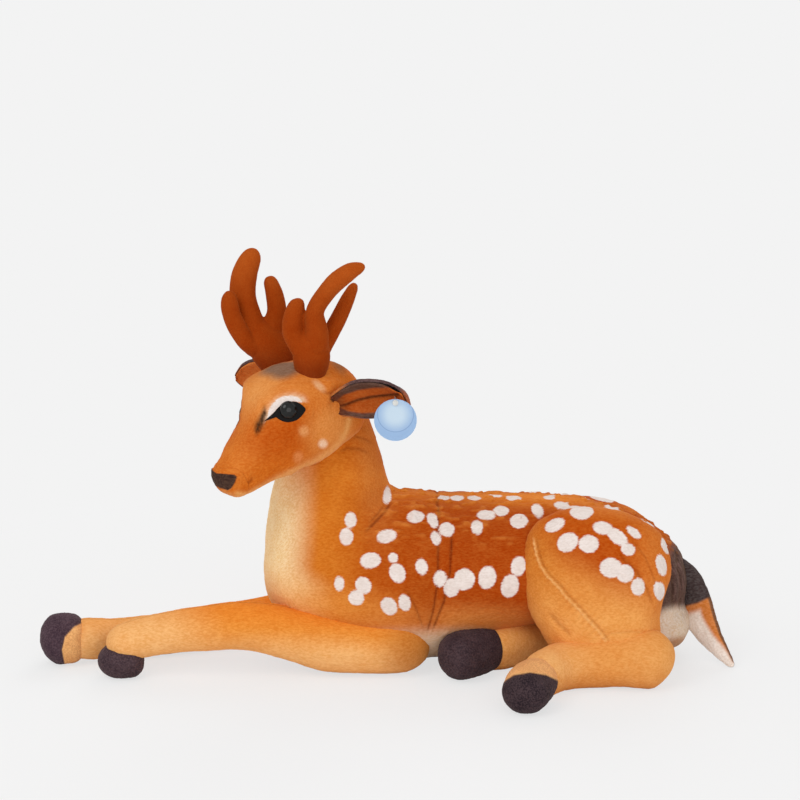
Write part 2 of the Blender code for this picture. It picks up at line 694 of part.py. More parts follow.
def build_head(holder, floor):
    skin, filling = stuffed("head", head_shape, holder, "coat", floor, [], INNER_SIDES, 5)
    wide, deep = NECK_WIDTH * 0.17, HEAD_HEIGHT * 0.7
    throat = turned(((-deep, wide), (0, wide)), HEAD_PIVOT, (0, 0, 1), INNER_SIDES)
    cut(skin, add_cutter("throat_opening", closed_mesh("throat_opening", *throat, holder), holder))
    surface = surface_of(head_shape(0.0))
    for side, word in ((1, "left"), (-1, "right")):
        build_eye(word, side, holder, surface, skin, filling)
    build_nose(holder)


def surface_of(shape):
    points, faces = shape
    return BVHTree.FromPolygons([Vector(p) for p in points], faces)


def build_nose(holder):
    tip = on_head(HEAD_SHARES[-1][0], 0, HEAD_SHARES[-1][1])
    ahead = (tip - on_head(HEAD_SHARES[-3][0], 0, HEAD_SHARES[-3][1])).normalized()
    cloth = closed_mesh("nose", *head_shape(PATCH_THICKNESS + SEAM_GAP), holder)
    patch = add_piece("nose_patch", cloth, holder, "dark")
    reach = closed_mesh("nose_reach", *turned(((-NOSE_LENGTH, HEAD_WIDTH), (NOSE_LENGTH, HEAD_WIDTH)),
                                              tip, ahead, SMALL_SIDES), holder)
    boolean(patch, "INTERSECT", add_cutter("nose_reach", reach, holder))
    cut(patch, cutters["head_grown"])


def build_eye(word, side, holder, surface, skin, filling):
    probe = on_head(EYE_SHARES[0], side, EYE_SHARES[1])
    inward = (on_head(EYE_SHARES[0], 0, EYE_SHARES[1]) - probe).normalized()
    place, normal, _, _ = surface.ray_cast(probe, inward)
    normal = normal if normal.dot(inward) < 0 else -normal
    aim = (normal - inward).normalized()
    radius = EYE_DIAMETER / 2
    arc = np.radians(np.linspace(0, 80, 5))
    dome = [(-STEM_DIAMETER, radius)] + [(EYE_HEIGHT * math.sin(a), radius * math.cos(a)) for a in arc]
    dome = closed_mesh("eye", *turned(dome, place, aim, SMALL_SIDES), holder)
    eye = add_piece(f"eye_{word}", dome, holder, "eye")
    under = SEAM_GAP * 2 + PATCH_THICKNESS
    bed = add_cutter(f"eye_bed_{word}", closed_mesh("eye_bed", *head_shape(under), holder), holder)
    cut(eye, bed)
    thin = STEM_DIAMETER / 2
    stem = turned(((-STEM_LENGTH, thin), (EYE_HEIGHT / 2, thin)), place, aim, SMALL_SIDES)
    join(eye, add_cutter(f"stem_{word}", closed_mesh("stem", *stem, holder), holder))
    free = thin + PIN_GAP
    hole = turned(((-STEM_LENGTH - PIN_GAP, free), (OVERRUN, free)), place, aim, SMALL_SIDES)
    hole = add_cutter(f"stem_hole_{word}", closed_mesh("stem_hole", *hole, holder), holder)
    half = WASHER_THICKNESS / 2
    wide = WASHER_DIAMETER / 2
    disc = turned(((-WASHER_DEPTH - half, wide), (-WASHER_DEPTH + half, wide)), place, aim, SMALL_SIDES)
    washer = add_piece(f"eye_washer_{word}", closed_mesh("washer", *disc, holder), holder, "washer")
    cut(washer, hole)
    wide, deep = wide + FILLING_FIT, half + FILLING_FIT
    pocket = turned(((-WASHER_DEPTH - deep, wide), (-WASHER_DEPTH + deep, wide)), place, aim, SMALL_SIDES)
    pocket = add_cutter(f"washer_pocket_{word}", closed_mesh("pocket", *pocket, holder), holder)
    cut(skin, hole, pocket)
    cut(filling, hole, pocket)
    build_eye_patch(word, holder, place, aim, hole)


# The dark almond of cloth round an eye
def build_eye_patch(word, holder, place, aim, hole):
    cloth = closed_mesh("patch", *head_shape(PATCH_THICKNESS + SEAM_GAP), holder)
    patch = add_piece(f"eye_patch_{word}", cloth, holder, "dark")
    forward = (on_head(0.25, 0, -0.12) - on_head(0, 0, 0)).normalized()
    forward = (forward - forward.project(aim)).normalized()
    upright = aim.cross(forward)
    angles = np.radians(np.arange(0, 360, 20))
    outline = []
    for a in angles:
        narrowing = 1 - 0.35 * abs(math.cos(a)) ** 3
        outline.append(place + forward * (EYE_PATCH_LENGTH / 2 * math.cos(a))
                       + upright * (EYE_PATCH_HEIGHT / 2 * math.sin(a) * narrowing))
    count = len(outline)
    points = [tuple(p + aim * rise) for rise in (-OVERRUN / 2, OVERRUN / 2) for p in outline]
    faces = [(s, (s + 1) % count, count + (s + 1) % count, count + s) for s in range(count)]
    faces += [tuple(range(count))[::-1], tuple(range(count, 2 * count))]
    almond = add_cutter(f"almond_{word}", closed_mesh("almond", points, faces, holder), holder)
    boolean(patch, "INTERSECT", almond)
    cut(patch, cutters["head_grown"], hole)


def build_ear(word, holder, foot, way, mouth, head):
    around = passed_by(head, foot, Vector((0, 0, 1)), EAR_FOLD, 3)
    leaf = leaf_shape(foot, way, mouth, 0, EAR_CLOTH, 1)
    outer = add_piece(f"ear_{word}_outer", closed_mesh("ear", *leaf, holder), holder, "ear_back")
    lined = leaf_shape(foot, way, mouth, -LINING_CLOTH - PIN_GAP, -PIN_GAP, LINING_SHARE)
    lining = add_piece(f"ear_{word}_lining", closed_mesh("lining", *lined, holder), holder, "lining")
    for cloth in (outer, lining):
        cut_grazing(cloth, around)
    return outer, lining, leaf, lined


def build_antler(word, holder, foot, tables, head):
    around = passed_by(head, foot, Vector((1, 0, 0)), ANTLER_BEND, 3)
    trunk = closed_mesh("antler", *tine_shape(tables[0], foot, TINE_SIDES, TINE_RINGS, 0.0), holder)
    skin = add_piece(f"antler_{word}_skin", trunk, holder, "felt")
    inside = FELT_WALL + FILLING_FIT
    core = tine_shape(tables[0], foot, TINE_INNER_SIDES, TINE_INNER_RINGS, -inside)
    filling = add_piece(f"antler_{word}_filling", closed_mesh("antler", *core, holder), holder, "filling")
    for number, table in enumerate(tables[1:]):
        for piece, sides, rings, grow in ((skin, TINE_SIDES, TINE_RINGS, 0.0),
                                          (filling, TINE_INNER_SIDES, TINE_INNER_RINGS, -inside)):
            tine = closed_mesh("tine", *tine_shape(table, foot, sides, rings, grow), holder)
            join(piece, add_cutter(f"{piece.name}_tine_{number}", tine, holder))
    for number, table in enumerate(tables):
        hollow = tine_shape(table, foot, TINE_INNER_SIDES, TINE_INNER_RINGS, -FELT_WALL)
        hollow = closed_mesh("hollow", *hollow, holder)
        cut_grazing(skin, [add_cutter(f"antler_{word}_hollow_{number}", hollow, holder)])
    cut_grazing(skin, around)
    cut_grazing(filling, around)


def build_front_leg(word, holder, side, table, hoof_table, elbow, torso, floor):
    shape = limb_shape(table, elbow, side, FRONT_LEG_LENGTH, FRONT_LEG_THICKNESS, 8, (0.45, 0.30))
    around = passed_by(torso, world_place(holder), Vector((0, 0, -side)), FRONT_LEG_SWING, 3)
    stuffed(f"front_leg_{word}", shape, holder, "coat", floor, around, LIMB_INNER_SIDES, 6)
    leg = grown(f"front_leg_{word}", shape, holder)
    hoof_shape = limb_shape(hoof_table, elbow, side, FRONT_LEG_LENGTH, FRONT_LEG_THICKNESS, 2, (0.2, 0.30))
    hoof = add_piece(f"front_hoof_{word}", closed_mesh("hoof", *hoof_shape(0.0, HOOF_SIDES), holder), holder, "hoof")
    cut_grazing(hoof, [leg, floor])


def build_shank(word, holder, side, table, hoof_table, hock, limits, neighbours, floor):
    shape = limb_shape(table, hock, side, SHANK_LENGTH, SHANK_THICKNESS, 6, (0.45, 0.25))
    around = []
    for neighbour in neighbours:
        around += passed_by(neighbour, world_place(holder), Vector((0, 0, 1)), limits, 3)
    stuffed(f"hind_shank_{word}", shape, holder, "coat_pale", floor, around, LIMB_INNER_SIDES, 5)
    shank = grown(f"hind_shank_{word}", shape, holder)
    hoof_shape = limb_shape(hoof_table, hock, side, SHANK_LENGTH, SHANK_THICKNESS, 2, (0.2, 0.30))
    hoof = add_piece(f"hind_hoof_{word}", closed_mesh("hoof", *hoof_shape(0.0, HOOF_SIDES), holder), holder, "hoof")
    cut_grazing(hoof, [shank, floor, *around])


def build_thigh(word, root, side, torso, floor):
    hip, drop_share = (LEFT_HIP, 0) if side < 0 else (RIGHT_HIP, RIGHT_THIGH_DROP_SHARE)
    shape = thigh_shape(hip, side, drop_share)
    stuffed(f"thigh_{word}", shape, root, "coat", floor, [torso], INNER_SIDES, 5)
    return grown(f"thigh_{word}", shape, root)


# The tail's top and underside, two leaves of cloth sewn round its edge
def build_tail(holder, torso, floor):
    around = passed_by(torso, TAIL_ROOT, Vector((0, -1, 0)), TAIL_LIFT, 4)
    for word, slot, sense in (("top", "dark", 1), ("underside", "white", -1)):
        leaf = add_piece(f"tail_{word}", closed_mesh("tail", *tail_shape(sense), holder), holder, slot)
        cut_grazing(leaf, [floor, *around])


# How far back the ear reaches behind the round end of a pin
def back_of_ear(leaf, hole, radius):
    surface = surface_of(leaf)
    places = []
    for turn in np.linspace(0, 2 * math.pi, SMALL_SIDES, endpoint=False):
        start = hole + Vector((radius * math.cos(turn), EAR_LENGTH, radius * math.sin(turn)))
        met, _, _, _ = surface.ray_cast(start, Vector((0, -1, 0)))
        if met:
            places.append(met.y)
    return max(places)


# The card hangs on a nylon pin through the ear, with its head in front and its bar behind
def build_tag(ear, foot, outer, lining, leaf, lined):
    along, up = TAG_PLACE_SHARES
    rim = min(p[1] for p in leaf[0] + lined[0])
    hole = Vector((foot.x + along * EAR_LENGTH, rim - TAG_THICKNESS - TAG_PLAY, foot.z + up * EAR_WIDTH))
    holder = pivot("hang_tag_pivot", hole, ear)
    half, wide = TAG_THICKNESS / 2, TAG_DIAMETER / 2
    middle = hole - Vector((0, 0, wide - TAG_HOLE_INSET))
    card = turned(((-half, wide), (half, wide)), middle, (0, 1, 0), TAG_SIDES)
    tag = add_piece("hang_tag", closed_mesh("tag", *card, holder), holder, "card")
    open_half = TAG_HOLE_DIAMETER / 2
    bore = turned(((-OVERRUN, open_half), (OVERRUN, open_half)), hole, (0, 1, 0), SMALL_SIDES)
    cut(tag, add_cutter("tag_bore", closed_mesh("bore", *bore, holder), holder))
    thin, thick = PIN_DIAMETER / 2, PIN_HEAD_DIAMETER / 2
    front = -half - PIN_GAP
    back = back_of_ear(leaf, hole, thick) - hole.y + PIN_GAP
    pin = turned(((front - PIN_HEAD_THICKNESS, thick), (front, thick), (front, thin), (back, thin),
                  (back, thick), (back + PIN_HEAD_THICKNESS, thick)), hole, (0, 1, 0), SMALL_SIDES)
    add_piece("tag_pin", closed_mesh("pin", *pin, ear), ear, "nylon")
    drill = turned(((0, thin + PIN_GAP), (back + OVERRUN, thin + PIN_GAP)), hole, (0, 1, 0), SMALL_SIDES)
    drill = add_cutter("pin_drill", closed_mesh("drill", *drill, ear), ear)
    cut(outer, drill)
    cut(lining, drill)


# The toy's middle in plan is put over the origin
def centre_in_plan(root):
    bpy.context.view_layer.update()
    places = []
    for piece in pieces.values():
        spot = world_place(piece.parent)
        places += [(v.co.x + spot.x, v.co.y + spot.y) for v in piece.data.vertices]
    places = np.array(places)
    middle = (places.max(axis=0) + places.min(axis=0)) / 2
    root.location = (-middle[0], -middle[1], 0)


def main():
    clear_scene()
    root = pivot("deer", Vector())
    slab = Vector((TORSO_LENGTH * 2, TORSO_LENGTH * 2, OVERRUN))
    floor = add_cutter("floor", closed_mesh("floor", *box(Vector((0, 0, -slab.z)), slab), root), root)
    torso = build_torso(root, floor)
    neck = pivot("neck_pivot", NECK_PIVOT, root)
    head = pivot("head_pivot", HEAD_PIVOT, neck)
    head_grown = grown("head", head_shape, head)
    turning_head = grown("turning_head", head_shape, head, TURNING_GAP)
    build_neck(neck, torso, turning_head, floor)
    build_head(head, floor)
    for word, foot, tables in (("left", LEFT_ANTLER_FOOT_SHARES, LEFT_ANTLER_SHARES),
                               ("right", RIGHT_ANTLER_FOOT_SHARES, RIGHT_ANTLER_SHARES)):
        foot = on_head(*foot)
        build_antler(word, pivot(f"antler_{word}_pivot", foot, head), foot, tables, head_grown)
    left_foot, right_foot = on_head(*LEFT_EAR_FOOT_SHARES), on_head(*RIGHT_EAR_FOOT_SHARES)
    left_ear = pivot("ear_left_pivot", left_foot, head)
    right_ear = pivot("ear_right_pivot", right_foot, head)
    leaves = build_ear("left", left_ear, left_foot, LEFT_EAR_WAY_SHARES, LEFT_EAR_MOUTH_SHARES,
                       head_grown)
    build_tag(left_ear, left_foot, *leaves)
    build_ear("right", right_ear, right_foot, RIGHT_EAR_WAY_SHARES, RIGHT_EAR_MOUTH_SHARES, head_grown)
    leg_turn = FRONT_LEG_THICKNESS * 0.4
    for word, side, table, hoof_table, elbow in (
            ("left", -1, LEFT_LEG_SHARES, LEFT_FRONT_HOOF_SHARES, LEFT_ELBOW),
            ("right", 1, RIGHT_LEG_SHARES, RIGHT_FRONT_HOOF_SHARES, RIGHT_ELBOW)):
        place = elbow + Vector((-leg_turn, 0, FRONT_LEG_THICKNESS / 2))
        holder = pivot(f"front_leg_{word}_pivot", place, root)
        build_front_leg(word, holder, side, table, hoof_table, elbow, torso, floor)
    for word, side, table, hoof_table, hock, limits in (
            ("left", -1, LEFT_SHANK_SHARES, LEFT_HIND_HOOF_SHARES, LEFT_HOCK, LEFT_SHANK_SWING),
            ("right", 1, RIGHT_SHANK_SHARES, RIGHT_HIND_HOOF_SHARES, RIGHT_HOCK, RIGHT_SHANK_SWING)):
        thigh = build_thigh(word, root, side, torso, floor)
        place = hock + Vector((-SHANK_THICKNESS * 0.4, 0, SHANK_THICKNESS / 2))
        holder = pivot(f"hind_shank_{word}_pivot", place, root)
        build_shank(word, holder, side, table, hoof_table, hock, limits, (torso, thigh), floor)
    build_tail(pivot("tail_pivot", TAIL_ROOT, root), torso, floor)
    centre_in_plan(root)


main()
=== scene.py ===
import math
from itertools import product

import bpy
import numpy as np
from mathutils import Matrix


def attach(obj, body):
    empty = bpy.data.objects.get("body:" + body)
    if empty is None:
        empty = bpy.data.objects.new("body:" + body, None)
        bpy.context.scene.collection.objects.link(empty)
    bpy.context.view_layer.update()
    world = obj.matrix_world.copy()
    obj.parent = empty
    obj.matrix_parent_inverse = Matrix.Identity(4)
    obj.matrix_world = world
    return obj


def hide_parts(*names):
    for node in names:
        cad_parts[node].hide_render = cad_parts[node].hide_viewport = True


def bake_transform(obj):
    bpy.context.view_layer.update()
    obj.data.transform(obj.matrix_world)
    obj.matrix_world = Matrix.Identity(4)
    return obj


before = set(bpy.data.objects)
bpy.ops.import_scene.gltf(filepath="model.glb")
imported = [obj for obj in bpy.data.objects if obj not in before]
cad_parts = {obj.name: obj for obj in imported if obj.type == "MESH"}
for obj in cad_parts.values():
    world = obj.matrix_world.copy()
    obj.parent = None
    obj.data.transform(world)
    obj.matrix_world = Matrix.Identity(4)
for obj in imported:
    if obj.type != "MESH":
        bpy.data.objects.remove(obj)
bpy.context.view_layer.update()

millimetre = 0.001
endBluntness = 2.4       # how square the round ends of a stuffed form are
lineSamples = 400        # places read along a form's middle line
tangentWindow = 31       # how many of them smooth its direction
nowhere = -0.02          # depth in metres of a point that no spot reaches

# The photograph's frame in pixels, and the camera that it was taken with
photo = {"size": 800, "place": (0.01467, -2.10855, 0.74359), "tilt": math.radians(12),
         "lens": 91.7, "sensor": 36.0, "pixel": 1.03 * millimetre}

studio = {"backdrop": (243, 243, 243), "floorRadius": 3.0, "floorCorners": 96, "fadeFrom": 0.4,
          "fadeTo": 0.75, "floorGlow": 0.74, "ambient": 0.64, "lampAim": (0.0, 0.0, 0.15),
          "lamps": {"key": ((-1.2, -1.5, 2.1), 1.5, 19), "fill": ((0.9, -2.4, 0.7), 2.0, 15),
                    "rim": ((0.4, 1.9, 1.7), 1.6, 14)}}


def inkOf(colour):
    # Screen colour from 0 to 255 to linear light
    share = np.array(colour, float) / 255
    return np.where(share <= 0.04045, share / 12.92, ((share + 0.055) / 1.055) ** 2.4)


def rgba(colour):
    return (*inkOf(colour), 1.0)


def unit(vector):
    vector = np.array(vector, float)
    return vector / np.linalg.norm(vector)


def smoothStep(value, low, high):
    # 0 before low, 1 after high, and t * t * (3 - 2 * t) between them
    t = np.clip((value - low) / (high - low), 0, 1)
    return t * t * (3 - 2 * t)


def sightOf(points):
    # Pixel column and row: a point's place beside and above the line of sight, over its distance
    focal = photo["size"] * photo["lens"] / photo["sensor"]
    cosine, sine = math.cos(photo["tilt"]), math.sin(photo["tilt"])
    away = points - np.array(photo["place"])
    ahead = away[:, 1] * cosine - away[:, 2] * sine
    rise = away[:, 1] * sine + away[:, 2] * cosine
    middle = photo["size"] / 2
    return middle + focal * away[:, 0] / ahead, middle - focal * rise / ahead


def nearSide(points, plane, normals=None):
    # Points beyond the toy's middle plane are mirrored to the side that the photograph shows
    place, across = np.array(plane[0], float), unit(plane[1])
    beyond = np.maximum((points - place) @ across, 0)[:, None]
    near = points - 2 * beyond * across
    if normals is None:
        return near
    return near, normals - 2 * (beyond > 0) * (normals @ across)[:, None] * across


def napNoise(points, size, seed=0):
    # Random numbers on a lattice of that size, blended smoothly between the eight corners round a point
    cells = points / size
    low = np.floor(cells).astype(np.int64)
    t = cells - low
    t = t * t * (3 - 2 * t)
    total = np.zeros(len(points))
    for corner in product((0, 1), repeat=3):
        c = low + corner
        code = (c[:, 0] * 73856093) ^ (c[:, 1] * 19349663) ^ (c[:, 2] * 83492791) ^ (seed * 2654435761)
        code = (code ^ (code >> 13)) * 1274126177 & 0xFFFFFFFF
        value = ((code ^ (code >> 16)) & 0xFFFF) / 32767.5 - 1
        total += value * np.prod(np.where(corner, t, 1 - t), axis=1)
    return total


def lineDistance(u, v, line):
    # Shortest distance in the picture to a line of straight runs, and how far along the line it is met
    line = np.array(line, float)
    nearest, along, passed = np.full(len(u), 1e9), np.zeros(len(u)), 0.0
    for first, second in zip(line, line[1:]):
        run = second - first
        length = np.linalg.norm(run)
        t = np.clip(((u - first[0]) * run[0] + (v - first[1]) * run[1]) / length**2, 0, 1)
        gap = np.hypot(u - first[0] - t * run[0], v - first[1] - t * run[1])
        closer = gap < nearest
        nearest = np.where(closer, gap, nearest)
        along = np.where(closer, passed + t * length, along)
        passed += length
    return nearest, along, passed


def beyondLine(u, v, line):
    # Distance in the picture to the nearest run of a line, above zero on its right-hand side
    line = np.array(line, float)
    nearest, side = np.full(len(u), 1e9), np.zeros(len(u))
    for first, second in zip(line, line[1:]):
        run = second - first
        t = np.clip(((u - first[0]) * run[0] + (v - first[1]) * run[1]) / (run @ run), 0, 1)
        gap = np.hypot(u - first[0] - t * run[0], v - first[1] - t * run[1])
        turn = np.sign(run[0] * (v - first[1]) - run[1] * (u - first[0]))
        side = np.where(gap < nearest, turn, side)
        nearest = np.minimum(gap, nearest)
    return nearest * side


def insideDepth(u, v, corners):
    # Distance in the picture to the nearest side of a convex outline, above zero inside it
    corners = np.array(corners, float)
    depth = np.full(len(u), 1e9)
    for first, second in zip(corners, np.roll(corners, -1, axis=0)):
        run = unit(second - first)
        depth = np.minimum(depth, run[0] * (v - first[1]) - run[1] * (u - first[0]))
    return depth


def blotDepth(u, v, blot):
    # How deep a pixel lies in an oval: 1 at its middle, 0 at its rim, less outside
    column, row, wide, high, turn = blot
    cosine, sine = math.cos(math.radians(turn)), math.sin(math.radians(turn))
    along = (u - column) * cosine + (v - row) * sine
    across = (v - row) * cosine - (u - column) * sine
    return 1 - np.hypot(along / wide, across / high)


def readRows(rows, shares):
    # A smooth curve through the rows of a table, read at shares of its length: between two rows, the
    # cubic that meets both with their slopes
    steps = np.linalg.norm(np.diff(rows[:, :3], axis=0), axis=1)
    knots = np.concatenate(([0.0], np.cumsum(steps)))
    slopes = np.gradient(rows, knots, axis=0)
    at = np.clip(shares, 0, 1) * knots[-1]
    low = np.clip(np.searchsorted(knots, at, side="right") - 1, 0, len(knots) - 2)
    span = (knots[low + 1] - knots[low])[:, None]
    t = (at - knots[low])[:, None] / span
    return ((1 + 2 * t) * (1 - t) ** 2 * rows[low] + t * (1 - t) ** 2 * span * slopes[low]
            + t**2 * (3 - 2 * t) * rows[low + 1] + t**2 * (t - 1) * span * slopes[low + 1])


def formOf(rows, ends, upward, squareness=2.0):
    # The middle line of a swelling form with its two half widths and the directions across and outward
    rows = np.array(rows, float)
    length = np.linalg.norm(np.diff(rows[:, :3], axis=0), axis=1).sum()
    shares = np.linspace(0, 1, lineSamples)
    along = readRows(rows, shares)
    tangents = np.gradient(along[:, :3], axis=0)
    kernel = np.hanning(tangentWindow) / np.hanning(tangentWindow).sum()
    padded = np.pad(tangents, ((tangentWindow // 2,) * 2, (0, 0)), mode="edge")
    tangents = np.stack([np.convolve(padded[:, i], kernel, "valid") for i in range(3)], axis=1)
    tangents /= np.linalg.norm(tangents, axis=1)[:, None]
    across = np.cross(tangents, np.array(upward, float))
    across /= np.linalg.norm(across, axis=1)[:, None]
    table = np.hstack((along, across, np.cross(across, tangents)))
    return {"shares": shares, "table": table, "first": ends[0] / length, "last": 1 - ends[1] / length,
            "square": squareness}


def formPoints(form, shares, angles, grow=0.0):
    # Middle line plus cosine times half width across plus sine times half height outward, both
    # drawn in towards the round ends
    read = np.stack([np.interp(shares, form["shares"], column) for column in form["table"].T], axis=-1)
    fromStart = np.clip(1 - shares / form["first"], 0, 1)
    fromEnd = np.clip(1 - (1 - shares) / (1 - form["last"]), 0, 1)
    full = (1 - np.maximum(fromStart, fromEnd) ** endBluntness) ** (1 / endBluntness)
    cosine, sine = np.cos(angles), np.sin(angles)
    power = 2 / form["square"]
    wide = (read[..., 3] + grow) * full * np.sign(cosine) * np.abs(cosine) ** power
    high = (read[..., 4] + grow) * full * np.sign(sine) * np.abs(sine) ** power
    return read[..., :3] + read[..., 5:8] * wide[..., None] + read[..., 8:11] * high[..., None]


def formGrid(form, rings, sides, endRings=9, arc=None, grow=0.0):
    # Rings evenly spaced along the form and closer together round its ends
    turn = np.linspace(0, math.pi / 2, endRings + 2)[1:-1]
    opening = form["first"] * (1 - np.cos(turn))
    closing = 1 - (1 - form["last"]) * (1 - np.cos(turn))
    shares = np.concatenate((opening, np.linspace(form["first"], form["last"], rings), closing[::-1]))
    if arc is None:
        angles = np.arange(sides) * 2 * math.pi / sides
    else:
        angles = np.linspace(*arc, sides)
    shares, angles = np.meshgrid(shares, angles, indexing="ij")
    grid = formPoints(form, shares, angles, grow)
    tips = formPoints(form, np.array([0.0, 1.0]), np.zeros(2), grow)
    return grid, tips, shares, angles


def closedFaces(rings, sides):
    # Quads between the rings, and a fan to a pole at each end
    corner = np.arange(rings - 1)[:, None] * sides + np.arange(sides)
    after = np.arange(rings - 1)[:, None] * sides + np.roll(np.arange(sides), -1)
    quads = np.stack((corner, after, after + sides, corner + sides), axis=-1).reshape(-1, 4)
    side, following = np.arange(sides), np.roll(np.arange(sides), -1)
    base = (rings - 1) * sides
    first = np.stack((np.full(sides, rings * sides), following, side), axis=1)
    last = np.stack((np.full(sides, rings * sides + 1), base + side, base + following), axis=1)
    return quads.tolist() + first.tolist() + last.tolist()


def newPiece(name, points, faces):
    mesh = bpy.data.meshes.new(name)
    mesh.from_pydata(np.asarray(points).tolist(), [], faces)
    mesh.update()
    piece = bpy.data.objects.new(name, mesh)
    bpy.context.scene.collection.objects.link(piece)
    if signedVolume(mesh) < 0:
        mesh.flip_normals()
    mesh.shade_smooth()
    return piece


def ringPiece(name, grid, tips):
    # Rings of points, closed by a point at each end
    return newPiece(name, np.vstack((grid.reshape(-1, 3), tips)), closedFaces(*grid.shape[:2]))


def signedVolume(mesh):
    mesh.calc_loop_triangles()
    corners = np.zeros(len(mesh.loop_triangles) * 3, np.int32)
    mesh.loop_triangles.foreach_get("vertices", corners)
    places = placesOf(mesh)[corners].reshape(-1, 3, 3)
    return float(np.einsum("ij,ij->i", places[:, 0], np.cross(places[:, 1], places[:, 2])).sum()) / 6


def placesOf(mesh):
    flat = np.zeros(len(mesh.vertices) * 3, np.float32)
    mesh.vertices.foreach_get("co", flat)
    return flat.reshape(-1, 3).astype(float)


def normalsOf(mesh):
    flat = np.zeros(len(mesh.vertices) * 3, np.float32)
    mesh.vertex_normals.foreach_get("vector", flat)
    return flat.reshape(-1, 3).astype(float)


def setPlaces(mesh, points):
    mesh.vertices.foreach_set("co", np.ascontiguousarray(points, np.float32).ravel())
    mesh.update()


def surfaceOf(piece, plane=None):
    # A piece's points and normals, and the pixels of its points or of their places on the near side
    points, normals = placesOf(piece.data), normalsOf(piece.data)
    return points, normals, *sightOf(points if plane is None else nearSide(points, plane))


def formPiece(name, form, rings, sides, endRings=9, arc=None):
    grid, tips, shares, angles = formGrid(form, rings, sides, endRings, arc)
    piece = ringPiece(name, grid, tips)
    return piece, np.append(shares.ravel(), (0, 1)), np.append(angles.ravel(), (0, 0))


def finished(piece, *steps):
    # Adds modifiers, then keeps their result as the piece's own mesh
    for kind, settings in steps:
        step = piece.modifiers.new(kind.title(), kind)
        for key, value in settings.items():
            setattr(step, key, value)
    evaluated = piece.evaluated_get(bpy.context.evaluated_depsgraph_get())
    mesh = bpy.data.meshes.new_from_object(evaluated)
    piece.modifiers.clear()
    piece.data = mesh
    mesh.shade_smooth()
    return piece


def joined(name, parts, voxel, smoothing):
    # Forms sewn into one cloth: laid in one mesh, wrapped by even small quads and smoothed
    points, faces, offset = [], [], 0
    for grid, tips in parts:
        points.append(np.vstack((grid.reshape(-1, 3), tips)))
        faces += [[i + offset for i in face] for face in closedFaces(*grid.shape[:2])]
        offset += len(points[-1])
    piece = newPiece(name, np.vstack(points), faces)
    return finished(piece, ("REMESH", {"mode": "VOXEL", "voxel_size": voxel}),
                    ("SMOOTH", {"factor": 0.5, "iterations": smoothing}))


def paint(piece, colours, **fields):
    # Colours and other numbers are kept on the points, for the materials to read
    mesh = piece.data
    shown = mesh.attributes.new("coatColour", "FLOAT_COLOR", "POINT")
    ink = np.hstack((np.clip(colours, 0, 1), np.ones((len(colours), 1))))
    shown.data.foreach_set("color", ink.astype(np.float32).ravel())
    for key, values in fields.items():
        kept = mesh.attributes.new(key, "FLOAT", "POINT")
        kept.data.foreach_set("value", np.asarray(values, np.float32))


def mixed(colours, ink, share):
    share = np.broadcast_to(share, len(colours))[:, None]
    return colours * (1 - share) + inkOf(ink) * share


def airbrushed(u, v, ground, strokes):
    # Soft ovals of colour over a ground colour, each laid over those before it
    colours = np.tile(inkOf(ground), (len(u), 1))
    for blot, ink, softness, strength in strokes:
        colours = mixed(colours, ink, strength * smoothStep(blotDepth(u, v, blot), -softness, softness))
    return colours


def creased(u, v, seams):
    # How far the cloth is pulled in along its creases, and how much they are shaded
    depth, shade = np.zeros(len(u)), np.zeros(len(u))
    for line, deep, wide, dark in seams:
        gap, along, length = lineDistance(u, v, line)
        ends = smoothStep(along, -1, 9) * smoothStep(length - along, -1, 9)
        press = np.exp(-((gap / wide) ** 2)) * ends
        depth += deep * press
        shade = np.maximum(shade, dark * np.exp(-((gap / (wide * 0.6)) ** 2)) * ends)
    return depth, shade


def shaded(colours, shade):
    # Light that is lost in a crease goes from blue and green before red
    return colours * (1 - np.asarray(shade)[:, None] * np.array((0.62, 0.78, 0.88)))


# Pixels to the nearest point, the most lean, how far round the cloth a spot reaches, the row above
# which spots lie on the back's ridge, and a spot's inks and frayed rim
spotRule = {"gap": 1.5, "lean": 0.6, "reach": 22 * millimetre, "ridge": 500,
            "inks": ((222, 207, 198), (239, 227, 221)), "fray": 3 * millimetre,
            "rim": (-1.1 * millimetre, 1.0 * millimetre)}


def spotDepth(points, near, normals, spots):
    # Depth in metres in the nearest pale spot, negative outside all of them. Each oval lies flat on
    # the cloth that its pixel meets, drawn out by as much as the cloth leans away there. All are
    # repeated on the far side but those on the ridge of the back
    u, v = sightOf(near)
    right, up = np.array((1.0, 0, 0)), np.array((0, math.sin(photo["tilt"]), math.cos(photo["tilt"])))
    seen = normals @ (np.array(photo["place"]) - near.mean(axis=0)) > 0
    deepest, lean = np.full(len(near), nowhere), spotRule["lean"]
    for column, row, wide, high, turn in spots:
        gap = np.where(seen, np.hypot(u - column, v - row), 1e9)
        index = np.argmin(gap)
        if gap[index] > spotRule["gap"]:
            continue
        out, cosine, sine = unit(normals[index]), math.cos(math.radians(turn)), math.sin(math.radians(turn))
        level, steep = right * cosine - up * sine, right * sine + up * cosine
        along = unit(level - (level @ out) * out)
        across = np.cross(out, along)
        reach = wide * photo["pixel"] / max(abs(along @ level), lean)
        rise = high * photo["pixel"] / max(abs(across @ steep), lean)
        away = (points if row < spotRule["ridge"] else near) - near[index]
        depth = (1 - np.hypot(away @ along / reach, away @ across / rise)) * min(reach, rise)
        deepest = np.maximum(deepest, np.where(np.abs(away @ out) < spotRule["reach"], depth, nowhere))
    return deepest


clothRule = {"steps": 20, "pressure": 4, "stiffness": 12, "bending": 0.4, "mass": 0.2, "damping": 2.0,
             "quality": 5, "inward": 0.2 * millimetre, "levels": 2}


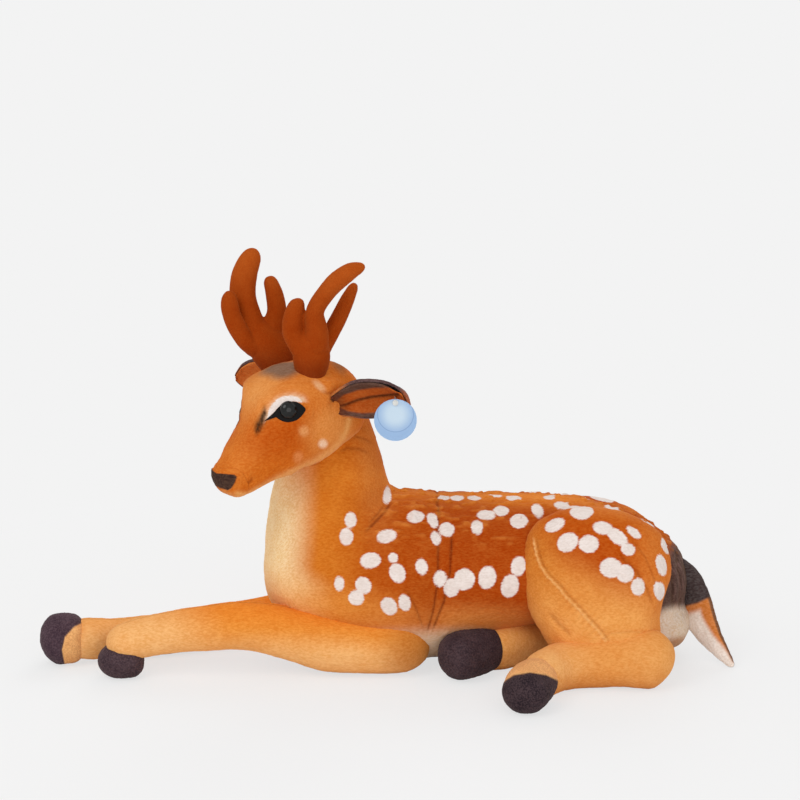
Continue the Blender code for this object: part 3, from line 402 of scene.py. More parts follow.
def stuffed(piece, held, most):
    # The filling swells the cover between its held seams: cloth under pressure, whose points move by a
    # few millimetres at most and hardly inwards, then subdivided
    rule = clothRule
    before, normals = placesOf(piece.data), normalsOf(piece.data)
    piece.vertex_groups.new(name="seams").add(np.flatnonzero(held).tolist(), 1.0, "REPLACE")
    cloth = piece.modifiers.new("Cloth", "CLOTH")
    settings = cloth.settings
    settings.quality, settings.mass = rule["quality"], rule["mass"]
    settings.air_damping = rule["damping"]
    settings.tension_stiffness = settings.compression_stiffness = rule["stiffness"]
    settings.bending_stiffness, settings.vertex_group_mass = rule["bending"], "seams"
    settings.use_pressure, settings.uniform_pressure_force = True, rule["pressure"]
    settings.effector_weights.gravity = 0
    cloth.collision_settings.use_collision = False
    cloth.point_cache.frame_end = rule["steps"]
    for step in range(1, rule["steps"] + 1):
        bpy.context.scene.frame_set(step)
    finished(piece)
    moved = placesOf(piece.data) - before
    moved -= normals * np.minimum((moved * normals).sum(axis=1) + rule["inward"], 0)[:, None]
    far = np.linalg.norm(moved, axis=1)[:, None]
    setPlaces(piece.data, before + moved * np.minimum(1, most / np.maximum(far, 1e-9)))
    bpy.context.scene.frame_set(1)
    finished(piece, ("SUBSURF", {"levels": rule["levels"], "render_levels": rule["levels"]}))
    piece.vertex_groups.clear()


def ruffled(piece, *lumps):
    # Lumps of stuffing and tufts of pile along the normals: size and height in millimetres, and a seed
    points, normals, u, v = surfaceOf(piece)
    lift = sum(high * millimetre * napNoise(points, size * millimetre, seed) for size, high, seed in lumps)
    setPlaces(piece.data, points + normals * lift[:, None])


def settled(piece, floor=0.3 * millimetre):
    # Cloth that would reach below the floor lies flat on it
    points = placesOf(piece.data)
    points[:, 2] = np.maximum(points[:, 2], floor)
    setPlaces(piece.data, points)


def rowsOf(table, sizes, place, columns=(0, 1, 2, 3, 4)):
    # A form's rows: these columns of a table of shares, each times its size, from a place
    return np.array(table)[:, columns] * sizes + (*place, 0, 0)


def node(tree, kind, settings=None, **inputs):
    made = tree.nodes.new(kind)
    for key, value in (settings or {}).items():
        setattr(made, key, value)
    for key, value in inputs.items():
        name = key.replace("_", " ")
        socket = made.inputs[int(key[2:])] if key.startswith("at") else made.inputs[name]
        if isinstance(value, bpy.types.NodeSocket):
            tree.links.new(value, socket)
        else:
            socket.default_value = value
    return made


def maths(tree, operation, first, second):
    return node(tree, "ShaderNodeMath", {"operation": operation}, at0=first, at1=second).outputs[0]


def blended(tree, share, first, second, mode="MIX"):
    mix = node(tree, "ShaderNodeMix", {"data_type": "RGBA", "blend_type": mode})
    for socket, value in ((mix.inputs[0], share), (mix.inputs[6], first), (mix.inputs[7], second)):
        if isinstance(value, bpy.types.NodeSocket):
            tree.links.new(value, socket)
        else:
            socket.default_value = value
    return mix.outputs[2]


def rising(tree, value, low, high, bottom=0.0, top=1.0):
    ranged = node(tree, "ShaderNodeMapRange", {"interpolation_type": "SMOOTHSTEP"}, Value=value)
    for key, number in (("From Min", low), ("From Max", high), ("To Min", bottom), ("To Max", top)):
        ranged.inputs[key].default_value = number
    return ranged.outputs[0]


def startMaterial(name, settings):
    material = bpy.data.materials.new(name)
    material.use_nodes = True
    tree = material.node_tree
    shader = tree.nodes["Principled BSDF"]
    for key, value in settings.items():
        shader.inputs[key].default_value = value
    place = node(tree, "ShaderNodeTexCoord").outputs["Object"]
    return material, tree, shader, place


def noiseOf(tree, place, size, detail=2.0, stretch=None, roughness=0.5):
    if stretch:
        place = node(tree, "ShaderNodeMapping", None, Vector=place, Scale=stretch).outputs[0]
    made = node(tree, "ShaderNodeTexNoise", None, Vector=place, Scale=1 / size, Detail=detail,
                Roughness=roughness)
    return made.outputs["Fac"]


def attribute(tree, name):
    return node(tree, "ShaderNodeAttribute", {"attribute_name": name})


def bumped(tree, shader, height, strength, distance):
    bump = node(tree, "ShaderNodeBump", None, Strength=strength, Distance=distance, Height=height)
    tree.links.new(bump.outputs[0], shader.inputs["Normal"])


def plushMaterial(name, finish):
    # Painted colour, with painted shade, warmer and darker, down between the hairs and a paler painted
    # highlight at their tips, smooth pale spots with a hairy rim, and a bump of strands
    sheen = {"Roughness": 0.9, "Sheen Weight": finish["sheen"], "Sheen Roughness": 0.4,
             "Sheen Tint": rgba(finish["sheenInk"]), "Specular IOR Level": 0.06}
    material, tree, shader, place = startMaterial(name, sheen)
    colour = attribute(tree, "coatColour").outputs["Color"]
    strands = noiseOf(tree, place, finish["strand"], 3.0, finish["lie"], 0.6)
    nap = noiseOf(tree, place, finish["nap"], 3.0, None, 0.6)
    # Painted shade down between the hairs, and a painted highlight at their tips, chosen by the strands'
    # noise
    between = blended(tree, 1.0, colour, rgba(finish["pileShadeInk"]), "MULTIPLY")
    tips = blended(tree, finish["tipShare"], colour, rgba(finish["tipInk"]))
    light = maths(tree, "ADD", maths(tree, "MULTIPLY", strands, 0.72), maths(tree, "MULTIPLY", nap, 0.28))
    colour = blended(tree, rising(tree, light, 0.34, 0.66), between, tips)
    if finish.get("spotted"):
        frayed = maths(tree, "MULTIPLY", maths(tree, "SUBTRACT", strands, 0.5), spotRule["fray"])
        depth = maths(tree, "ADD", attribute(tree, "spot").outputs["Fac"], frayed)
        pale = blended(tree, rising(tree, light, 0.3, 0.7), *map(rgba, spotRule["inks"]))
        colour = blended(tree, rising(tree, depth, *spotRule["rim"]), colour, pale)
    tree.links.new(colour, shader.inputs["Base Color"])
    bumped(tree, shader, strands, finish["bump"], 1.2 * millimetre)
    return material


def washed(name, ink, settings, size, contrast, bumpDepth, stretch=None):
    # A moulded, felt or fibre finish: one colour broken by fine noise, with the same noise as a bump
    material, tree, shader, place = startMaterial(name, settings)
    grain = noiseOf(tree, place, size, 5.0, stretch, 0.6)
    dark, pale = np.array(ink) * (1 - contrast), np.minimum(np.array(ink) * (1 + contrast), 255)
    colour = blended(tree, rising(tree, grain, 0.25, 0.75), rgba(dark), rgba(pale))
    tree.links.new(colour, shader.inputs["Base Color"])
    bumped(tree, shader, grain, 0.6, bumpDepth)
    return material


# The deep ink is painted shade down between the hairs, and the tip ink a painted highlight at their tips
plushFinish = {"sheen": 0.08, "sheenInk": (255, 222, 184), "strand": 1.3 * millimetre,
               "nap": 16 * millimetre, "lie": (0.32, 1.0, 0.7), "pileShadeInk": (241, 222, 194),
               "tipInk": (255, 196, 112), "tipShare": 0.05, "bump": 0.35}
coatFinish = plushMaterial("spottedCoat", {**plushFinish, "spotted": True})
plainFinish = plushMaterial("plainCoat", plushFinish)
paleFinish = plushMaterial("whitePile", {
    **plushFinish, "pileShadeInk": (236, 230, 224), "tipInk": (255, 250, 244)})
darkFinish = plushMaterial("darkPile", {
    **plushFinish, "sheen": 0.2, "sheenInk": (200, 185, 185), "lie": (1, 1, 1), "pileShadeInk": (190, 180, 180),
    "tipInk": (170, 150, 148), "tipShare": 0.12, "bump": 0.6})
feltFinish = plushMaterial("antlerFelt", {
    **plushFinish, "sheen": 0.22, "sheenInk": (255, 170, 90), "strand": 0.8 * millimetre, "lie": (1, 1, 1),
    "tipShare": 0.03, "pileShadeInk": (238, 224, 204), "bump": 0.25})
hoofFinish = plushMaterial("hoofPile", {
    **plushFinish, "sheen": 0.12, "sheenInk": (232, 208, 204), "lie": (1, 1, 1), "strand": 1.7 * millimetre,
    "pileShadeInk": (218, 202, 200), "tipInk": (196, 152, 146), "tipShare": 0.09, "bump": 0.7})


def dressed(piece, material, body, slot, *nodes, fill=None):
    piece.data.materials.clear()
    piece.data.materials.append(material)
    if body:
        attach(piece, body)
    if nodes:
        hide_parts(*nodes)


# The toy's own middle planes: its body's, and its turned head's
middleY = 0.042543
bodyPlane = ((0, middleY, 0), (0, 1, 0))
shift = np.array((0.004949, middleY, 0.0))

torsoShape = {
    "length": 0.46, "width": 0.186, "height": 0.185, "front": -0.304, "foot": -0.5 * millimetre,
    "rows": ((0, 0.53, 0.29, 0.35), (0.1, 0.53, 0.385, 0.42), (0.205, 0.51, 0.475, 0.473),
             (0.31, 0.5, 0.5, 0.495), (0.39, 0.5, 0.5, 0.5), (0.5, 0.55, 0.437, 0.5),
             (0.6, 0.587, 0.393, 0.495), (0.745, 0.585, 0.362, 0.484), (0.85, 0.52, 0.335, 0.452),
             (0.93, 0.42, 0.29, 0.376), (1, 0.35, 0.22, 0.26)),
}
# The rounded seat below the tail, as places and half widths in metres
seatShape = {"ends": (0.03, 0.026), "rows": (
    (0.222, 0.05, 0.07, 0.036), (0.262, 0.047, 0.07, 0.038), (0.298, 0.042, 0.062, 0.034),
    (0.333, 0.038, 0.052, 0.028))}
neckShape = {
    "height": 0.185, "depth": 0.148, "width": 0.132,
    "rows": ((0, 0, 0, 0.5, 0.5), (0.215, 0, 0, 0.473, 0.47),
             (0.43, 0.014, 0, 0.42, 0.38), (0.605, 0.034, -0.015, 0.338, 0.3),
             (0.77, 0.04, -0.03, 0.257, 0.25), (0.89, 0.014, -0.068, 0.182, 0.21),
             (1, 0, -0.083, 0.12, 0.15)),
}
neckFoot = shift + (torsoShape["front"] * torsoShape["length"] + neckShape["depth"] / 2, 0,
                    torsoShape["height"] * 0.65)
headPivot = neckFoot + (neckShape["depth"] * 0.04, -neckShape["width"] * 0.06, neckShape["height"] * 0.92)


def torsoForm():
    shape = torsoShape
    rows = rowsOf(np.array(shape["rows"]) + (shape["front"], 0, 0, 0),
                  (shape["length"], 0, shape["height"], shape["width"], shape["height"]),
                  (shift[0], middleY, shape["foot"]), (0, 0, 1, 3, 2))
    return formOf(rows, (shape["length"] * 0.1, shape["length"] * 0.07), (0, 0, 1))


def seatForm():
    rows = [(x, middleY, z, wide, high) for x, z, wide, high in seatShape["rows"]]
    return formOf(rows, seatShape["ends"], (0, 0, 1))


def neckForm():
    shape = neckShape
    tall, deep, wide = shape["height"], shape["depth"], shape["width"]
    rows = rowsOf(shape["rows"], (deep, wide, tall, wide, deep), neckFoot, (1, 2, 0, 4, 3))
    return formOf(rows, (tall * 0.05, tall * 0.06), (1, 0, 0))


# Pale spots in the picture: column, row, half width, half height and turn in degrees
coatSpots = (
    (339, 584, 5, 7.5, 0), (351, 520, 6, 8, 0), (346, 537, 7, 8, 0), (364, 586, 8, 9, -30),
    (356, 598, 8, 8, 0), (371, 561, 10.5, 8, -8), (387, 495, 4.5, 8.5, 12), (387, 536, 10, 7, -15),
    (389, 606, 8, 10, -25), (393, 558, 5, 5, 0), (398, 573, 8, 10, -20), (405, 603, 6, 8.5, -12),
    (416, 516, 7, 5.5, 25), (421, 567, 6, 8, -12), (433, 520, 5, 7, -20), (436, 538, 4.5, 7, -8),
    (447, 529, 7.5, 7, 0), (440, 579, 5, 8.5, 0), (444, 498, 6, 4, 5), (457, 498, 7, 4.5, 0),
    (452, 588, 8, 9.5, 10), (465, 579, 10.5, 11, 0), (487, 578, 9, 11.5, 10), (474, 497, 7, 4, 5),
    (477, 528, 6, 6.5, 0), (486, 515, 9, 6, 8), (501, 511, 8, 5.5, 15), (495, 496, 7, 3.5, 8),
    (514, 496, 8, 4.5, 3), (510, 586, 9, 12, 10), (518, 566, 7.5, 10, 10), (519, 521, 9, 6.5, 30),
    (538, 510, 6, 7.5, -8), (549, 497, 6, 4.5, 5), (555, 525, 10.5, 6, -22),
    (562, 506, 7.5, 6, -20), (582, 511, 12, 7.5, -5), (568, 542, 11, 9, -35), (589, 544, 10, 9, 0),
    (603, 528, 10, 6.5, 10), (617, 537, 12, 6.5, 38), (610, 568, 11, 9.5, 5), (625, 573, 9, 9, 0),
    (628, 549, 7.5, 6, 20), (638, 587, 7, 9, -8), (612, 508, 8, 3.5, 25), (634, 532, 8.5, 3.8, 38),
    (648, 522, 8, 3.5, 35), (662, 565, 6, 11, -18), (666, 546, 4.5, 8, -30), (660, 592, 6.5, 9, -25),
    (600, 501, 7, 2.8, 15), (530, 494, 7, 3, 0),
)

bodyCoat = {
    "voxel": 6 * millimetre, "under": -0.6 * millimetre, "swell": 3.2 * millimetre, "held": 3.5,
    "lumps": ((40, 1.0, 1), (12, 0.35, 2), (2.9, 0.35, 3)), "ground": (188, 86, 6),
    # Tufts lean to the rear by a share of their height; the dark rump has paler and darker hairs
    "tuft": 2.2 * millimetre, "tuftLean": (0.8, 0, 0), "tuftSize": 4.2 * millimetre,
    "tuftInk": (240, 158, 74),
    "nape": (434, 470, 14, 36, -8), "rump": (685, 574, 17, 44, 0), "unspotted": (684, 572, 18, 46, 0),
    "rumpHairs": (((136, 106, 110), 0.4, 1), ((46, 35, 40), 0.5, -1)),
    "strokes": (
        ((500, 560, 110, 70, 0), (172, 66, 0), 0.6, 0.85),       # deep flank
        ((520, 486, 170, 16, 3), (240, 146, 52), 0.8, 1.0),      # painted highlight along the top of the back
        ((480, 626, 120, 18, 2), (218, 134, 66), 0.7, 0.9),      # lower flank
        ((425, 600, 16, 30, 0), (172, 76, 8), 0.8, 0.6),         # behind the shoulder
        ((430, 650, 90, 18, 0), (232, 212, 190), 0.6, 0.9),      # belly
        ((372, 470, 16, 60, -6), (205, 122, 56), 0.8, 0.7),      # nape
        ((318, 510, 36, 120, 0), (216, 126, 36), 0.8, 0.9),      # side of the neck
        ((274, 530, 27, 100, 4), (255, 230, 184), 0.75, 1.0),    # throat and chest
        ((285, 602, 34, 26, 0), (250, 208, 152), 0.7, 0.9),      # low chest
        ((330, 608, 60, 18, 0), (232, 150, 66), 0.8, 0.7),
        ((684, 574, 18, 46, 0), (84, 64, 68), 0.35, 1.0),        # rump
        ((668, 600, 8, 20, 6), (80, 62, 64), 0.4, 1.0),
        ((677, 628, 30, 21, -8), (222, 208, 196), 0.25, 1.0),    # under the tail
        ((676, 646, 24, 8, -10), (172, 122, 86), 0.5, 0.8),
    ),
    "creases": (
        (((437, 492), (438, 540), (438, 580), (433, 612), (427, 634)), 1.2, 1.9, 0.85),
        (((452, 532), (450, 572), (444, 602), (432, 632)), 1.2, 1.9, 0.85),
        (((444, 500), (445, 560), (439, 606)), -1.2, 4.0, 0.0),
        (((405, 588), (416, 608), (424, 630)), 1.0, 1.9, 0.5),
        (((393, 500), (381, 515), (364, 533)), 1.2, 2.2, 0.8),
        (((386, 503), (377, 514), (368, 524)), 0.8, 1.5, 0.5),
        (((338, 453), (347, 448), (360, 449), (372, 454)), 1.2, 2.6, 0.4),
        (((343, 440), (352, 436), (364, 438), (374, 444)), 1.0, 2.2, 0.35),
        (((348, 428), (358, 426), (368, 430)), 0.8, 2.0, 0.3),
        (((676, 546), (681, 580), (680, 612)), 1.5, 2.0, 0.6),
        (((683, 552), (688, 580), (687, 612)), 1.5, 2.0, 0.6),
        (((670, 560), (673, 585), (672, 610)), 1.3, 2.0, 0.5),
    ),
}


def makeBodyCoat():
    coat = bodyCoat
    torso = formGrid(torsoForm(), 150, 110, grow=coat["under"])[:2]
    neck = formGrid(neckForm(), 70, 90, grow=coat["under"])[:2]
    seat = formGrid(seatForm(), 40, 70)[:2]
    piece = joined("bodyCoat", (torso, neck, seat), coat["voxel"], 3)
    points, normals, u, v = surfaceOf(piece, bodyPlane)
    seams = [lineDistance(u, v, line)[0] for line, deep, wide, dark in coat["creases"] if deep > 0]
    stuffed(piece, np.minimum.reduce(seams) < coat["held"], coat["swell"])
    points, normals, u, v = surfaceOf(piece, bodyPlane)
    depth, shade = creased(u, v, coat["creases"])
    setPlaces(piece.data, points - normals * (depth * millimetre)[:, None])
    ruffled(piece, *coat["lumps"])
    nape = smoothStep(blotDepth(u, v, coat["nape"]), -0.3, 0.3)
    tufts = smoothStep(napNoise(points * (0.45, 1, 0.8), coat["tuftSize"], 91), 0.1, 0.9)
    tufts = np.maximum(smoothStep(normals[:, 2], 0.45, 0.85), nape) * tufts
    lean = (normals + coat["tuftLean"]) * (coat["tuft"] * tufts)[:, None]
    setPlaces(piece.data, placesOf(piece.data) + lean)
    settled(piece)
    colours = shaded(airbrushed(u, v, coat["ground"], coat["strokes"]), shade)
    colours = mixed(colours, coat["tuftInk"], 0.4 * tufts)
    rump = smoothStep(blotDepth(u, v, coat["rump"]), -0.35, 0.35)
    hairs = napNoise(points * (1, 1, 0.12), 2.2 * millimetre, 4)
    for ink, share, sense in coat["rumpHairs"]:
        colours = mixed(colours, ink, share * rump * smoothStep(sense * hairs, 0, 0.8))
    dark = smoothStep(blotDepth(u, v, coat["unspotted"]), -0.3, 0.3)
    points = placesOf(piece.data)
    near, facing = nearSide(points, bodyPlane, normalsOf(piece.data))
    paint(piece, colours, spot=spotDepth(points, near, facing, coatSpots) + nowhere * dark)
    dressed(piece, coatFinish, None, "coat", "torso_skin", "neck_skin", fill=0.75)
    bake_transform(piece)
    print("body coat", len(piece.data.vertices), "points")


headShape = {
    "length": 0.176, "width": 0.1, "height": 0.1, "yaw": math.radians(36),
    "rows": ((-0.136, 0.06, 0.34, 0.33), (0.01, -0.01, 0.43, 0.45), (0.17, -0.05, 0.48, 0.5),
             (0.32, -0.1, 0.47, 0.51), (0.43, -0.22, 0.43, 0.45), (0.51, -0.36, 0.355, 0.35),
             (0.605, -0.51, 0.275, 0.26), (0.7, -0.64, 0.215, 0.2), (0.785, -0.72, 0.175, 0.155),
             (0.84, -0.76, 0.135, 0.115)),
}


def onHead(forward, left, up):
    ahead, aside = forward * headShape["length"], left * headShape["width"]
    cosine, sine = math.cos(headShape["yaw"]), math.sin(headShape["yaw"])
    return headPivot + np.array((-cosine * ahead + sine * aside, -sine * ahead - cosine * aside,
                                 up * headShape["height"]))


def headForm():
    rows = [(*onHead(ahead, 0, up), wide * headShape["width"], tall * headShape["height"])
            for ahead, up, wide, tall in headShape["rows"]]
    return formOf(rows, (headShape["length"] * 0.14, headShape["length"] * 0.07), (0, 0, 1), 2.4)


headCoat = {
    # The far brow stands out
    "corner": (0.38, -0.42, 0.24), "cornerSize": 24 * millimetre, "cornerRise": 5 * millimetre,
    "brow": (284, 396, 26, 10, -20), "socket": (285, 413, 18, 10, -8),
    "lumps": ((22, 0.7, 5), (6, 0.3, 6), (2.4, 0.22, 7)),
    # Rows of the picture: where the middle line and the jaw's edge are at a column, and how far the jaw
    # is let down; where the profile is at a row, and how far it moves sideways
    "jawColumns": ((218, 486.5, 493, 0), (226, 481.4, 494, 0), (231, 477, 494.3, 1), (239, 471, 492, 4),
                   (250, 459.5, 485.8, 5), (264, 442.7, 476, 6), (275, 428.3, 470, 7), (292, 413.2, 458, 12),
                   (304, 408.8, 456, 11), (314, 405.2, 455, 9), (334, 398.8, 448, 3), (346, 393.2, 440, 0)),
    "profileRows": ((368, 256, 0), (376, 253, -4), (383, 249.5, -6), (391, 244.5, -2.5), (397, 241, 0),
                    (408, 237.7, 2.5), (420, 236.9, 1.8), (434, 234.5, -2.3), (448, 228.3, -4.5),
                    (465, 219, -3.8), (473, 214.3, -2), (484, 213.5, 0)),
    "ground": (208, 108, 26), "jawInk": (242, 184, 114), "lidInk": (246, 226, 204),
    "strokeInk": (26, 18, 16), "chinInk": (238, 186, 126),
    "strokes": (
        ((262, 385, 20, 30, 20), (238, 168, 98), 0.8, 0.9),      # brow
        ((300, 384, 34, 16, 0), (222, 136, 62), 0.8, 0.8),       # forehead
        ((250, 440, 16, 42, 28), (224, 134, 58), 0.8, 0.7),      # bridge of the nose
        ((280, 436, 34, 20, -16), (188, 78, 0), 0.8, 0.85),      # cheek
        ((331, 430, 22, 27, 10), (228, 150, 78), 0.8, 0.9),      # back of the cheek
        ((284, 368, 17, 10, -14), (128, 104, 92), 0.5, 0.95),    # grey crown
        ((338, 364, 5, 11, -35), (150, 96, 58), 0.8, 0.8),       # stripe behind the antlers
        ((319, 386, 7, 3, 42), (242, 200, 160), 0.7, 0.65),      # pale mark before the ear
        ((304, 431, 4.8, 4.8, 0), (234, 168, 110), 0.6, 0.75),   # cheek spots
        ((323, 444, 4.3, 4.3, 0), (247, 212, 186), 0.5, 0.95),
        ((298, 457, 4.5, 5.5, 20), (230, 150, 92), 0.6, 0.7),
    ),
    "lid": ((267.5, 418.5), (270.5, 412.5), (275, 406.5), (280.5, 402), (287, 399.6), (294, 399),
            (301, 401.2)),
    "stroke": ((265, 407), (264, 414), (261.5, 420), (258.5, 427), (256.5, 435)),
    "nose": ((210, 474), (222, 474.3), (234, 475), (236.4, 477), (234.5, 482.5), (230.5, 488), (227, 489.8),
             (219, 487.5), (212, 481)),
    "jaw": ((349, 420), (347, 430), (341, 441), (331, 452), (318, 460), (300, 468), (280, 478), (262, 488),
            (248, 495), (238, 494)),
    "creases": (
        (((256, 476), (250, 482), (243, 487)), 1.4, 2.4, 0.55),   # mouth
        (((340, 392), (333, 400), (330, 410)), 1.4, 3.0, 0.3),
        (((322, 383), (334, 384), (348, 389)), -2.5, 4.5, 0.0),   # ear's root
        (((320, 391), (333, 394), (342, 399)), 1.2, 2.5, 0.45),
    ),
}


headAside = unit(onHead(0, -1, 0) - onHead(0, 0, 0))
headPlane = (headPivot, headAside)


def letDown(points):
    # The jaw and the profile move by the tables' pixels, fading smoothly to the head's middle line
    u, v = sightOf(nearSide(points, headPlane))
    column, middle, edge, drop = np.array(headCoat["jawColumns"]).T
    middle, edge, drop = (np.interp(u, column, values) for values in (middle, edge, drop))
    moved = points.copy()
    moved[:, 2] -= drop * smoothStep(v - middle, 0, edge - middle) * photo["pixel"]
    u, v = sightOf(points)
    row, profile, aside = np.array(headCoat["profileRows"]).T
    profile, aside = np.interp(v, row, profile), np.interp(v, row, aside)
    moved[:, 0] += aside * smoothStep(profile + 20 - u, 0, 20) * photo["pixel"]
    return moved


def headColours(points, normals):
    coat = headCoat
    u, v = sightOf(nearSide(points, headPlane))
    colours = airbrushed(u, v, coat["ground"], coat["strokes"])
    jawGap = lineDistance(u, v, coat["jaw"])[0]
    colours = mixed(colours, coat["jawInk"], 0.75 * np.exp(-((jawGap / 3.2) ** 2)))
    # The pale crescent is widest over the middle of the lid
    lid, along, length = lineDistance(u, v, coat["lid"])
    above = smoothStep(-beyondLine(u, v, coat["lid"]), -2.5, 0.5)
    colours = mixed(colours, coat["lidInk"], 0.8 * above * np.exp(-((lid / 4.6) ** 2)))
    crescent = (0.8 + 2.8 * np.sin(math.pi * along / length) ** 0.8 - lid) * photo["pixel"]
    # The dark stroke before the eye, broken into hairs
    stroke, along, length = lineDistance(u, v, coat["stroke"])
    hairs = 0.9 + 0.3 * napNoise(points * (1, 1, 0.4), 1.6 * millimetre, 9)
    width = 1.9 + 2.3 * np.sin(math.pi * np.clip(along / length, 0, 1) ** 1.4)
    dark = np.exp(-((stroke / width) ** 2.2)) * hairs
    dark *= smoothStep(along, -6, 9) * smoothStep(length - along, -3, 6)
    dark = np.clip(dark, 0, 0.93)
    colours = mixed(colours, coat["strokeInk"], dark)
    colours = mixed(colours, coat["chinInk"], 0.5 * smoothStep(-normals[:, 2], 0.35, 0.9))
    return colours, np.maximum(crescent, nowhere) - 4 * millimetre * dark


def makeHead():
    coat = headCoat
    piece = formPiece("headCoat", headForm(), 190, 210, 16)[0]
    points, normals, u, v = surfaceOf(piece)
    away = np.linalg.norm(points - onHead(*coat["corner"]), axis=1)
    corner = coat["cornerRise"] * np.exp(-(away / coat["cornerSize"]) ** 2)
    setPlaces(piece.data, letDown(points + normals * corner[:, None]))
    points, normals, u, v = surfaceOf(piece, headPlane)
    depth, shade = creased(u, v, coat["creases"])
    brow = smoothStep(blotDepth(u, v, coat["brow"]), -0.6, 0.8)
    socket = smoothStep(blotDepth(u, v, coat["socket"]), -0.4, 0.9)
    lift = 1.6 * brow - 1.2 * socket - depth
    setPlaces(piece.data, points + normals * (lift * millimetre)[:, None])
    ruffled(piece, *coat["lumps"])
    colours, crescent = headColours(points, normals)
    paint(piece, shaded(colours, shade), spot=crescent)
    dressed(piece, coatFinish, "head", "coat", "head_skin", fill=0.85)
    print("head coat", len(piece.data.vertices), "points")
    return piece


def meanOf(name):
    return placesOf(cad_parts[name].data).mean(axis=0)


eyeShape = {"radius": 9.5 * millimetre, "height": 6.5 * millimetre, "stem": 2.5 * millimetre,
            "stemLength": 14 * millimetre, "washerDepth": 7.5 * millimetre,
            "patchLength": 33 * millimetre, "patchHeight": 21 * millimetre, "behind": 1.2 * millimetre,
            "low": 2.2 * millimetre, "tail": 9.5 * millimetre, "tailDrop": 5.5 * millimetre,
            "crown": 0.8 * millimetre, "proud": 0.35 * millimetre, "under": 0.8 * millimetre,
            "facing": 0.15, "near": 45 * millimetre, "softness": 1.6 * millimetre}


def turnedPiece(name, profile, start, axis, sides=64):
    # A profile of places along an axis and radii, carried round it, closed by a point at each end
    axis = unit(axis)
    first = unit(np.cross(axis, (0, 0, 1) if abs(axis[2]) < 0.9 else (1, 0, 0)))
    second = np.cross(axis, first)
    profile = np.array(profile, float)
    angle = np.arange(sides) * 2 * math.pi / sides
    spoke = np.cos(angle)[:, None] * first + np.sin(angle)[:, None] * second
    grid = start + profile[:, None, :1] * axis + profile[:, None, 1:] * spoke
    return ringPiece(name, grid, start + profile[[0, -1], :1] * axis)


def makeEye(word, head):
    washer = meanOf(f"eye_washer_{word}")
    aim = unit(meanOf(f"eye_{word}") - washer)
    place = washer + aim * eyeShape["washerDepth"]
    arc = np.linspace(0, math.pi / 2, 24)[:-1]
    radius, height, stem = eyeShape["radius"], eyeShape["height"], eyeShape["stem"]
    profile = [(-eyeShape["stemLength"], stem * 0.6), (-eyeShape["stemLength"] * 0.96, stem), (-stem, stem),
               (-stem, radius * 0.96), (-stem * 0.8, radius)]
    profile += [(height * math.sin(a), radius * math.cos(a)) for a in arc]
    eye = turnedPiece(f"eye{word.title()}", profile, place, aim)
    dressed(eye, eyeFinish, "head", "eye", f"eye_{word}")
    makeEyePatch(word, place, aim, head)


def cappedPiece(name, front, back):
    # A thin cloth: rings over its front and back again behind, with a point in the middle of each
    tips = front[0].mean(axis=0), back[0].mean(axis=0)
    return ringPiece(name, np.concatenate((front, back[::-1])), tips)


def laidPatch(name, head, outline, place, aim, upright):
    # A flat cloth drops along its aim on to the head, whose height is the mean of its points near each
    # line, weighted by exp(-(gap / softness)^2); the crown's height is a constant times
    # root(1 - reach^4)
    shape, aside = eyeShape, np.cross(upright, aim)
    reach, angle = np.meshgrid(np.linspace(0.04, 1, 26), np.arange(120) * 2 * math.pi / 120, indexing="ij")
    across, up = outline(reach, angle)
    points = placesOf(head.data) - place
    facing = normalsOf(head.data) @ aim > shape["facing"]
    points = points[facing & (np.linalg.norm(points, axis=1) < shape["near"])]
    gaps = ((across.reshape(-1, 1) - points @ aside) ** 2 + (up.reshape(-1, 1) - points @ upright) ** 2)
    weights = np.exp(-gaps / shape["softness"] ** 2) + 1e-12
    height = (weights @ (points @ aim)) / weights.sum(axis=1)
    laid = (place + across[..., None] * aside + up[..., None] * upright
            + height.reshape(across.shape)[..., None] * aim)
    dome = (shape["crown"] * (1 - reach**4) ** 0.5)[..., None]
    return cappedPiece(name, laid + aim * (dome + shape["proud"]), laid - aim * shape["under"])


def makeEyePatch(word, place, aim, head):
    # An almond drawn out to a thin tail towards the nose
    shape, sense = eyeShape, -1 if word == "left" else 1
    upright = unit(np.array((0, 0, 1.0)) - aim[2] * aim)

    def almond(reach, angle):
        cosine, sine = np.cos(angle), np.sin(angle)
        tail = np.clip(cosine, 0, 1) ** 36
        along = reach * (shape["patchLength"] / 2 * cosine + shape["tail"] * tail) - shape["behind"]
        up = reach * (shape["patchHeight"] / 2 * sine * (1 - 0.5 * np.abs(cosine) ** 3)) - shape["low"]
        return sense * along, up - reach * shape["tailDrop"] * tail - 0.08 * along

    patch = laidPatch(f"eyePatch{word.title()}", head, almond, place, aim, upright)
    dressed(patch, patchFinish, "head", "dark", f"eye_patch_{word}")


noseShape = {"reach": 0.05, "wings": 0.075, "proud": 0.35 * millimetre, "thick": 1.7 * millimetre,
             "under": -1.4 * millimetre, "ink": (54, 38, 42)}


